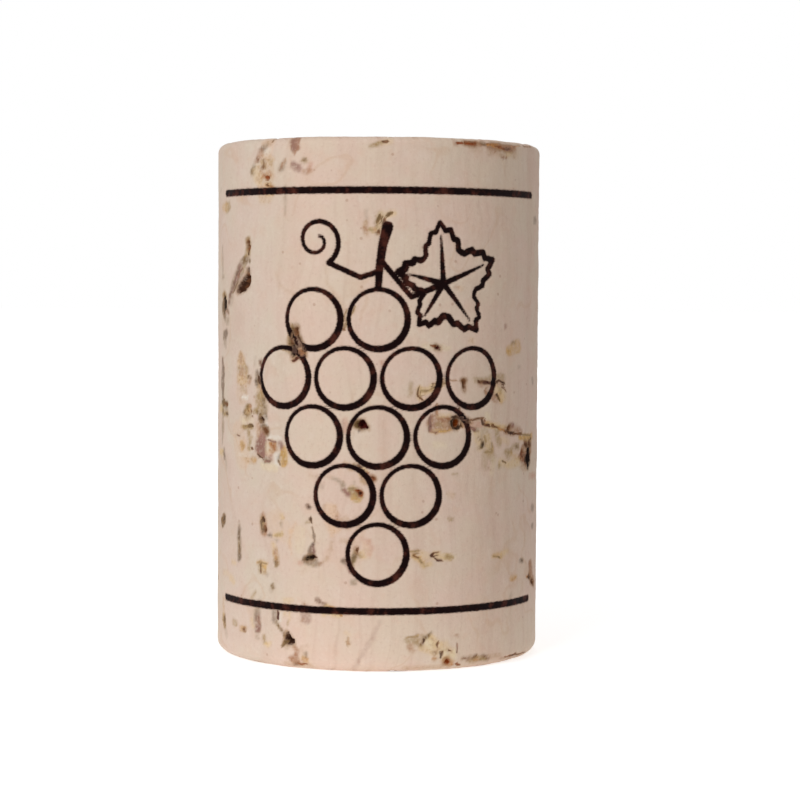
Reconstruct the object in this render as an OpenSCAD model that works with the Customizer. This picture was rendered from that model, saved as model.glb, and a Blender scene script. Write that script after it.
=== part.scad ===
// A natural cork stopper: one cylinder punched out of one strip of bark, its axis along the trunk.
// The bark's pores run straight out through its yearly layers. Where the wall faces them end on they
// open as upright ovals, and where they graze the wall or an end they open as long channels.
// The stopper stands on its lower end: +Z is its axis and -Y faces the branded side.

/* [Stopper] */
// Diameter of the stopper
stopper_d = 24.2; // [20:0.1:32]
// Length of the stopper along its axis
stopper_len = 38; // [30:0.5:60]
// Radius of the worn rim at the upper end
top_round = 0.6; // [0.3:0.05:1.5]
// Radius of the worn rim at the lower end
bottom_round = 0.8; // [0.3:0.05:1.5]

/* [Pores] */
// Length of a usual pore mouth, along the axis
pore_len = 1.2; // [0.6:0.05:2]
// Width of a usual pore mouth, round the wall
pore_w = 0.7; // [0.4:0.05:1]
// Depth of a usual pore
pore_depth = 0.45; // [0.2:0.05:0.8]
// How far a mouth strays from a smooth oval, as a share of its size
pore_rag = 0.2; // [0:0.05:0.3]
// Angle round the axis, from the branded side, at which the bark's pores meet the wall end on
bark_turn = -65; // [-90:5:90]
// Pores on the wall behind the branded side
back_pores = 30; // [4:1:50]
// Channels across each end
end_channels = 12; // [2:1:16]
// Length of a usual channel across an end
channel_len = 4.6; // [2:0.1:8]

/* [Cracks and chips] */
// Width of a usual crack at the wall
crack_w = 0.4; // [0.2:0.05:0.8]
// Depth of a usual crack
crack_depth = 0.5; // [0.2:0.05:1]
// Length of a usual chip along a rim
chip_len = 3; // [1:0.1:5]
// Height of a usual chip, from the rim along the wall
chip_h = 0.6; // [0.3:0.05:1.2]
// Depth of a usual chip, in from the wall
chip_depth = 0.5; // [0.2:0.05:1]

/* [Brand] */
// Depth to which the hot brand sinks the bark
brand_depth = 0.12; // [0.05:0.01:0.3]
// Width of a usual branded line
line_w = 0.4; // [0.2:0.02:0.6]
// Diameter of a grape, to the middle of its line
grape_d = 4.2; // [3:0.1:4.6]
// Height of the middle row of the bunch above the lower end
bunch_height = 16.8; // [14:0.1:20]
// Length of the stem above the bunch
stem_len = 4.2; // [3:0.1:6]
// Reach of the vine leaf, from its middle to its longest tip
leaf_reach = 4.4; // [3:0.1:5]
// Width of the curl of the tendril
curl_d = 3.6; // [2:0.1:4.5]
// Width of the two rules
rule_w = 0.5; // [0.2:0.05:1]
// Height of the lower rule above the lower end
low_rule = 4.4; // [3:0.1:6]
// Depth of the upper rule below the upper end
high_rule = 3.8; // [2:0.1:6]
// Half of the angle that the rules span round the wall
rule_span = 68; // [40:1:85]

/* [Hidden] */
$fn = 96;

r = stopper_d / 2;
proud = 0.4 * pore_depth;                  // how far a cutter stands out of the face that it cuts
pitch = grape_d + 1.5 * line_w;            // from grape to grape, so that their lines clear
row_step = pitch * sin(60);                // from row to row of the bunch
bunch_top = bunch_height + 2 * row_step + grape_d / 2;
leaf_turn = 22;                            // how far the leaf's axis rises
leaf_middle = [leaf_reach * 1.08, bunch_top + 0.1 * leaf_reach];

cork_colour = "#d9c2ae";
cavity_colour = "#5a3d2c";
crumb_colour = "#b98f5e";
oval_colour = "#8d7468";
brand_colour = "#2a181a";

// Cavities, mostly dark inside: [angle, share of the length, then width, length and depth as shares
// of a usual pore's, lean, corners]
cavities = [
    [-51.5, 0.732, 2.0, 1.3, 2.0, 20, 3], [-70, 0.684, 1.3, 1.0, 1.3, 0, 0],
    [-29.5, 0.614, 1.9, 1.7, 1.8, 0, 3], [-6, 0.466, 1.3, 0.6, 1.4, 0, 0],
    [20, 0.610, 1.0, 0.4, 0.8, 0, 0], [27, 0.468, 1.4, 0.6, 1.5, 0, 0],
    [63, 0.395, 2.3, 0.9, 1.2, 0, 4], [52.5, 0.455, 1.2, 0.5, 1.0, 180, 3],
    [-6.5, 0.337, 1.4, 0.5, 0.9, 0, 0], [-4.8, 0.376, 0.7, 1.2, 1.0, 50, 0],
    [-23.2, 0.218, 1.7, 0.8, 1.4, 0, 3], [-8, 0.213, 0.7, 1.5, 1.0, -20, 0],
    [-32, 0.056, 1.4, 0.9, 1.6, 30, 3], [18.7, 0.220, 0.9, 0.4, 1.0, 0, 0],
    [-45, 0.538, 0.8, 0.9, 1.2, 0, 0], [-44, 0.470, 0.7, 0.9, 1.0, 0, 0],
    [46, 0.514, 0.9, 0.5, 1.1, 0, 3], [30.8, 0.534, 0.6, 0.7, 0.9, 0, 3],
    [-56, 0.224, 0.6, 2.1, 1.0, 0, 0], [-43.3, 0.268, 0.7, 1.1, 1.0, 0, 0],
    [-71, 0.268, 1.4, 0.8, 1.1, 0, 0], [71, 0.163, 2.6, 0.9, 1.2, 20, 3],
    [73, 0.255, 0.9, 0.5, 0.9, 0, 0], [73, 0.289, 0.8, 0.5, 0.9, 0, 0],
    [61.5, 0.192, 0.7, 0.4, 0.8, 0, 0], [-70, 0.066, 1.0, 0.6, 0.9, 0, 0],
    [-69, 0.490, 1.7, 0.35, 0.8, 0, 0], [24.6, 0.019, 0.9, 0.5, 1.1, 0, 3],
    [-37, 0.095, 0.4, 0.9, 1.0, 0, 0], [2.5, 0.845, 0.5, 1.0, 0.8, -38, 0],
    [-0.5, 0.838, 0.5, 0.9, 0.8, -15, 0], [-45, 0.972, 0.7, 0.9, 0.9, -20, 0]
];

// Crumbly patches of soft tissue, shallow, in the same form
crumbs = [
    [16, 0.521, 1.6, 0.7, 0.5, 0, 0], [21, 0.539, 0.8, 0.5, 0.7, 0, 0],
    [42, 0.518, 1.9, 0.5, 0.5, -20, 0], [-50, 0.485, 1.3, 0.5, 0.7, 0, 0],
    [-38.5, 0.421, 1.0, 0.5, 0.7, 0, 0], [-33.5, 0.403, 0.7, 1.0, 0.5, 0, 0],
    [17.5, 0.216, 4.6, 0.5, 0.4, 0, 0], [-16.5, 0.122, 3.2, 0.6, 0.5, -18, 0],
    [16, 0.045, 1.6, 0.9, 0.8, 0, 0], [21, 0.030, 1.3, 0.8, 0.7, 30, 0],
    [-44, 0.188, 1.2, 0.6, 0.8, 0, 3], [-37, 0.216, 0.6, 0.9, 0.5, 0, 0],
    [-54, 0.064, 1.2, 0.4, 0.7, 0, 0], [55, 0.610, 2.0, 0.6, 0.4, 0, 0],
    [47, 0.211, 2.1, 0.35, 0.5, 0, 0], [-67, 0.874, 1.7, 0.5, 0.5, 0, 0],
    [75, 0.850, 1.4, 0.5, 0.7, 0, 0], [-43, 0.905, 1.3, 0.5, 0.7, 0, 0],
    [-41, 0.923, 0.8, 0.4, 0.9, 0, 0], [-46, 0.942, 0.8, 0.5, 0.8, 0, 0]
];

// Pores cut end on and still filled, upright and shallow, in the same form
ovals = [
    [-44.5, 0.418, 1.6, 1.7, 0.5, 0, 0], [-45.5, 0.082, 1.2, 1.6, 0.5, 0, 0],
    [-24.6, 0.105, 1.1, 1.1, 0.4, 0, 0], [-31.5, 0.112, 0.9, 1.3, 0.4, 0, 0],
    [21, 0.466, 1.6, 1.0, 0.4, 0, 4], [-29.5, 0.985, 1.2, 1.3, 0.7, 0, 0],
    [-29.3, 0.942, 0.8, 0.5, 0.5, 0, 0], [-35, 0.945, 0.8, 0.5, 0.5, 0, 0],
    [-26, 0.953, 0.8, 0.4, 0.5, 0, 0]
];

// Cracks: [width as a share of a usual crack's, depth likewise, the route as angle and share of
// the length]
cracks = [
    [1.9, 1.3, [[-51, 0.815], [-51.6, 0.785], [-53, 0.758], [-58, 0.728], [-64, 0.698],
        [-69.5, 0.668], [-71.5, 0.61], [-70.5, 0.53], [-71.5, 0.45], [-71, 0.39]]],
    [0.7, 0.9, [[28.5, 0.474], [39, 0.466], [45, 0.457], [52, 0.447], [59, 0.438], [65, 0.437],
        [71, 0.434]]],
    [0.6, 0.8, [[25, 0.548], [30, 0.539], [36, 0.543], [42, 0.539], [48, 0.542]]],
    [0.6, 0.6, [[-8, 0.685], [-10, 0.663], [-12.4, 0.639]]],
    [0.6, 0.7, [[-23.6, 0.313], [-23.3, 0.284], [-22.4, 0.262], [-21.8, 0.243], [-22.7, 0.222]]],
    [0.6, 0.7, [[-2, 0.981], [0.5, 0.988], [3.3, 0.992]]],
    [0.5, 0.7, [[-36.8, 0.08], [-35, 0.068], [-33, 0.058]]]
];

// Chips: [angle, upper rim 1 or lower rim 0, length, height and depth as shares of a usual chip's]
chips = [
    [33, 1, 1.1, 1.0, 1.0], [46, 1, 1.3, 1.4, 1.2], [57, 1, 0.7, 0.8, 0.8],
    [37, 0, 1.2, 1.2, 0.9], [57, 0, 1.0, 0.9, 0.8], [-26, 0, 0.5, 1.6, 0.8],
    [150, 1, 0.9, 1.0, 0.9], [-128, 0, 0.8, 1.2, 0.8], [-160, 1, 0.6, 0.8, 0.7]
];

// ---- places on the wall and the ends ----------------------------------------------------------

// Arc length round the wall for an angle in degrees from the branded side
function arc(angle) = angle * PI / 180 * r;

// The point s round the wall, t up the axis and d in from the wall
function on_wall(s, t, d) = let (a = s / r * 180 / PI) [(r - d) * sin(a), -(r - d) * cos(a), t];

// The point p along the bark's pores, q across them and d in from the upper end
function on_end(p, q, d) = [
    p * sin(bark_turn) + q * cos(bark_turn), q * sin(bark_turn) - p * cos(bark_turn), stopper_len - d
];

// How squarely the wall meets the bark's pores at an angle: 1 end on, 0 grazing
function facing(angle) = abs(cos(angle - bark_turn));

// ---- skins: closed solids over a stack of rings -----------------------------------------------

// All rings have as many points, anticlockwise seen from the first ring, and a fan closes each end
module skin(rings) {
    n = len(rings[0]);
    k = len(rings);
    last = (k - 1) * n;
    sides = [
        for (i = [0:k - 2], j = [0:n - 1])
        let (a = i * n + j, b = i * n + (j + 1) % n)
        each [[a, b, b + n], [a, b + n, a + n]]
    ];
    ends = [
        for (j = [0:n - 1])
        each [[k * n, (j + 1) % n, j], [k * n + 1, last + j, last + (j + 1) % n]]
    ];
    tips = [for (ring = [rings[0], rings[k - 1]]) [for (p = ring) 1 / n] * ring];
    polyhedron([for (ring = rings) each ring, each tips], [each sides, each ends], convexity = 6);
}

// A ragged outline round 0, 0 with half sizes a and b, turned by lean; corners pulls it towards
// that many corners, the first one up
function mouth(a, b, lean, seed, corners) =
    let (n = corners > 0 ? 10 : 8, stray = rands(-pore_rag, pore_rag, n, seed))
    [
        for (j = [0:n - 1])
        let (
            turn = 360 * j / n,
            size = 1 + stray[j] + (corners > 0 ? 0.24 * cos(corners * (turn - 90)) : 0),
            x = a * size * cos(turn),
            y = b * size * sin(turn)
        )
        [x * cos(lean) - y * sin(lean), x * sin(lean) + y * cos(lean)]
    ];

// How a pore narrows from outside its mouth to its floor, as [depth, share of the mouth's size]:
// plain ones straight, cornered ones with an undercut brow
function narrowing(depth, corners) =
    [[-proud, 1.12], if (corners > 0) [0.5 * depth, 0.84], [depth, 0.45]];

// ---- cutters ----------------------------------------------------------------------------------

module pore(s, t, a, b, depth, lean, seed, corners = 0) {
    rim = mouth(a, b, lean, seed, corners);
    skin([
        for (level = narrowing(depth, corners))
        [for (p = rim) on_wall(s + p[0] * level[1], t + p[1] * level[1], level[0])]
    ]);
}

// The pores of one table, with their own seeds from the given one
module pores(table, seed) {
    for (i = [0:len(table) - 1])
        let (row = table[i])
        pore(
            arc(row[0]), row[1] * stopper_len, pore_w / 2 * row[2], pore_len / 2 * row[3],
            pore_depth * row[4], row[5], seed + i, row[6]
        );
}

// Behind the branded side the pores lie at random, drawn out where the wall grazes them
module rear_pores() {
    angle = rands(80, 280, back_pores, 11);
    share = rands(0.05, 0.95, back_pores, 12);
    size = rands(0.6, 1.5, back_pores, 13);
    for (i = [0:back_pores - 1])
        pore(
            arc(angle[i]), share[i] * stopper_len, pore_w / 2 * size[i] / max(facing(angle[i]), 0.25),
            pore_len / 2 * size[i] * max(facing(angle[i]), 0.45), pore_depth * size[i], 0, 400 + i
        );
}

// Channels across the upper end, along the bark's pores, one in each of even lanes
module channels(seed) {
    along = rands(-1, 1, end_channels, seed);
    across = rands(0.15, 0.85, end_channels, seed + 1);
    size = rands(0.35, 1.5, end_channels, seed + 2);
    for (i = [0:end_channels - 1]) {
        a = channel_len / 2 * size[i];
        q = ((i + across[i]) / end_channels * 2 - 1) * 0.88 * r;
        p = along[i] * max(sqrt(r * r - q * q) - a, 0);
        rim = mouth(a, pore_w / 5 * (1 + size[i]), 0, seed + 10 + i, 0);
        skin([
            for (level = narrowing(pore_depth * (0.6 + size[i]), 0))
            [for (c = rim) on_end(p + c[0] * level[1], q + c[1] * level[1], level[0])]
        ]);
    }
}

// A crack is a groove of V section that runs out at both tips
module crack(width, depth, shares) {
    route = [for (c = shares) [arc(c[0]), c[1] * stopper_len]];
    last = len(route) - 1;
    skin([
        for (i = [0:last])
        let (
            step = route[min(i + 1, last)] - route[max(i - 1, 0)],
            swell = i == 0 || i == last ? 0.12 : 1,
            side = [-step[1], step[0]] / norm(step) * width / 2 * swell * (1 + proud / depth),
            left = route[i] + side,
            right = route[i] - side
        )
        [
            on_wall(right[0], right[1], -proud),
            on_wall(left[0], left[1], -proud),
            on_wall(route[i][0], route[i][1], depth * swell)
        ]
    ]);
}

module rim_chips() {
    for (i = [0:len(chips) - 1])
        let (row = chips[i])
        pore(
            arc(row[0]), row[1] * stopper_len, chip_len / 2 * row[2], chip_h * row[3],
            chip_depth * row[4], 0, 500 + i, 5
        );
}

// ---- the brand: flat artwork, s round the wall and t up it, pressed in to an even depth ---------

// A point of the artwork, drawn together so that it lies right once it is pressed on the wall
function pressed(p) = [r * sin(p[0] / r * 180 / PI), p[1]];

// One side of a line of the artwork: the points of its route, each moved out by share of its width
function beside(route, widths, share, looped = false) =
    let (k = len(route))
    [
        for (i = [0:k - 1])
        let (
            before = route[looped ? (i + k - 1) % k : max(i - 1, 0)],
            after = route[looped ? (i + 1) % k : min(i + 1, k - 1)],
            step = after - before
        )
        pressed(route[i] + [-step[1], step[0]] / norm(step) * widths[i] * share)
    ];

module line(route, widths) {
    right = beside(route, widths, -0.5);
    polygon([each beside(route, widths, 0.5), for (i = [len(right) - 1:-1:0]) right[i]]);
}

module loop(route, widths) {
    difference() {
        polygon(beside(route, widths, -0.5, true));
        polygon(beside(route, widths, 0.5, true));
    }
}

// The radius of the leaf's outline at a turn from its axis: five lobes, the longest ahead and the
// shortest beside the stalk, that narrow from notch to tip, with a tooth every 12 degrees
function leaf_edge(turn) =
    let (off = abs(((turn + 36) % 72 + 72) % 72 - 36) / 36, back = min(turn, 360 - turn) / 180)
    leaf_reach * (1 - 0.4 * back * back) * (1 - 0.42 * pow(off, 1.1)) * (1 + 0.05 * cos(30 * turn));

function on_leaf(turn, share) =
    leaf_middle + share * leaf_edge(turn) * [cos(turn + leaf_turn), sin(turn + leaf_turn)];

module leaf() {
    outline = [for (turn = [0:6:354]) on_leaf(turn, 1)];
    loop(outline, [for (p = outline) line_w]);
    for (turn = [0:72:288])
        line([leaf_middle, on_leaf(turn, 0.4), on_leaf(turn, 0.78)], line_w * [1.1, 0.8, 0.35]);
}

// The stem, its cut end, and the leaf's stalk
module stem() {
    foot = [0, bunch_top + line_w / 2];
    line(
        [foot, foot + stem_len * [0.02, 0.35], foot + stem_len * [0.07, 0.7], foot + stem_len * [0.15, 1]],
        line_w * [1.2, 1.4, 1.6, 2]
    );
    line([foot + stem_len * [0.03, 0.45], on_leaf(180, 1.6), leaf_middle], line_w * [1, 0.9, 1.1]);
}

// The tendril leaves the stem to the left and rolls up
module tendril() {
    middle = [-curl_d * 1.25, bunch_top + 0.95 * curl_d];
    curl = [
        for (turn = [-60:24:420])
        let (share = (turn + 60) / 480)
        middle + curl_d / 2 * (1 - 0.78 * share) * [cos(turn), sin(turn)]
    ];
    route = [[0, bunch_top + 0.3 * stem_len], [-0.35 * curl_d, bunch_top + 0.2 * stem_len], each curl];
    line(route, [for (i = [0:len(route) - 1]) line_w * (0.95 - 0.4 * i / len(route))]);
}

// Bark under the brand's face: a thin shell at the wall
module brand_layer() {
    difference() {
        cylinder(h = stopper_len, r = r + proud);
        cylinder(h = stopper_len, r = r - brand_depth);
    }
}

// Two eccentric circles give a grape a line that swells on its shaded side
module grapes() {
    rows = [[-1, 0], [-1.5, -0.5, 0.5, 1.5], [-1, 0, 1], [-0.5, 0.5], [0]];
    shade = line_w * 0.2 * [-0.7, 0.7];
    for (row = [0:len(rows) - 1], place = rows[row])
        translate([0, 0, bunch_height + (2 - row) * row_step])
        rotate(place * pitch / r * 180 / PI)
        rotate([90, 0, 0])
        translate([0, 0, r - grape_d / 4])
        linear_extrude(grape_d / 4 + proud)
        difference() {
            circle(d = grape_d + line_w);
            translate(shade) circle(d = grape_d - line_w);
        }
}

module rule(height) {
    rotate(-90 - rule_span)
    rotate_extrude(angle = 2 * rule_span)
    translate([r - brand_depth, height - rule_w / 2])
    square([brand_depth + proud, rule_w]);
}

module brand() {
    intersection() {
        brand_layer();
        union() {
            grapes();
            rotate([90, 0, 0])
            translate([0, 0, r / 2])
            linear_extrude(r / 2 + proud) {
                leaf();
                stem();
                tendril();
            }
        }
    }
    rule(low_rule);
    rule(stopper_len - high_rule);
}

// ---- the stopper ------------------------------------------------------------------------------

// The punched blank, its rims worn round
module blank() {
    rotate_extrude()
    difference() {
        square([r, stopper_len]);
        translate([r - bottom_round, 0])
        difference() {
            square(bottom_round);
            translate([0, bottom_round]) circle(bottom_round);
        }
        translate([r - top_round, stopper_len - top_round])
        difference() {
            square(top_round);
            circle(top_round);
        }
    }
}

module stopper() {
    color(cork_colour)
    difference() {
        blank();
        color(brand_colour) brand();
        color(oval_colour) pores(ovals, 300);
        color(crumb_colour) {
            pores(crumbs, 200);
            rim_chips();
        }
        color(cavity_colour) {
            pores(cavities, 100);
            for (c = cracks) crack(crack_w * c[0], crack_depth * c[1], c[2]);
            rear_pores();
            channels(600);
            translate([0, 0, stopper_len]) mirror([0, 0, 1]) channels(700);
        }
    }
}

stopper();
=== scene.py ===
"""A natural cork stopper: the looks of its skin, pores, cracks, worn rims and branded mark.

Lengths in this file are millimetres until a mesh, a lamp or the camera is made. A place on the wall
is s, the arc length round it from the middle of the branded side, and t, the height up it. Past a
rim t runs on over the rounding and then in across the end, so a mark can lie over a rim.
"""
import math

import bpy
import numpy as np
from mathutils import Matrix, Vector


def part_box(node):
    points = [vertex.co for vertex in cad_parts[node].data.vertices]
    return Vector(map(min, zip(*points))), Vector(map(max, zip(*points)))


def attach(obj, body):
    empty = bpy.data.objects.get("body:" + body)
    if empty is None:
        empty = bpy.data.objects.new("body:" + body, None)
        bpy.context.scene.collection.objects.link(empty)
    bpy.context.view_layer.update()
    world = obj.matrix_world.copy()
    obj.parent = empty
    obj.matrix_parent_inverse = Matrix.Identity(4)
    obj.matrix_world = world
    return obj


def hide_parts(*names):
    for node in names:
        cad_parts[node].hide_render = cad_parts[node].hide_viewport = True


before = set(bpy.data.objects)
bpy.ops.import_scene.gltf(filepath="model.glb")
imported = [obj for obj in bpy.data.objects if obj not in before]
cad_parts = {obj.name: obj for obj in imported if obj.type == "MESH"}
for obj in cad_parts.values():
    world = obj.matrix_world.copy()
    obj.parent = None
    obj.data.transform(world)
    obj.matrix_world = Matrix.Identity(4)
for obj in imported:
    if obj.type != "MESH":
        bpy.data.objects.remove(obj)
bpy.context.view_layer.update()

MM = 0.001
box_low, box_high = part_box("stopper")
RADIUS = (box_high[1] - box_low[1]) / 2 / MM
LENGTH = (box_high[2] - box_low[2]) / MM
TOP_ROUND = 0.6
BOTTOM_ROUND = 0.8

# The bark's pores run along this direction, and its yearly layers lie square to it
BARK_TURN = math.radians(-65)
BARK = np.array([math.sin(BARK_TURN), -math.cos(BARK_TURN), 0.0])
ACROSS = np.array([math.cos(BARK_TURN), math.sin(BARK_TURN), 0.0])


# ---- colours ------------------------------------------------------------------------------------

def linear(code):
    """The linear red, green and blue of a written colour such as d6bfad."""
    shares = [int(code[i:i + 2], 16) / 255 for i in (0, 2, 4)]
    return [c / 12.92 if c <= 0.04045 else ((c + 0.055) / 1.055) ** 2.4 for c in shares]


TONES = {name: linear(code) for name, code in dict(
    black="1c0d07", garnet="420d08", umber="452a1c", brown="70492f", rust="8a3f16", ember="7f3a08",
    sienna="8a5232", amber="b9814f", olive="765c3c", moss="a58a62", grey="6e6254", drab="74604c",
    slate="8c7868", mist="ab9682", ochre="cba063", straw="d9bb90", cream="e2cfae", sand="ccab86",
    tan="c2a184", peach="dcb796", clay="ac8268", mauve="9c7567", plum="8a665a", rose="c89a84",
    chalk="e2d8cb").items()}

# How much of a soft patch of each tone breaks up into crumbs; the tones that aren't named stay even.
CRUMBLY = dict(ochre=0.35, straw=0.35, cream=0.3, sand=0.8, amber=0.4, peach=0.4, tan=0.45, moss=0.4,
               clay=0.35, slate=0.2, mist=0.2, chalk=0.1)

# A deep stroke narrower than THIN is drawn as a line instead of cut out with a floor, and one that is
# also shorter than SHORT and shallower than SHALLOW only stains the wall.
THIN = 0.32
SHORT = 0.45
SHALLOW = 0.155


# ---- marks of the bark on the branded side -------------------------------------------------------
# A mark is a stroke from one place to another: (s1, t1, s2, t2, width at each end, depth or
# strength, tone). Deep marks are cut into the wall, and soft marks only tint and crumble it.

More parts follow.
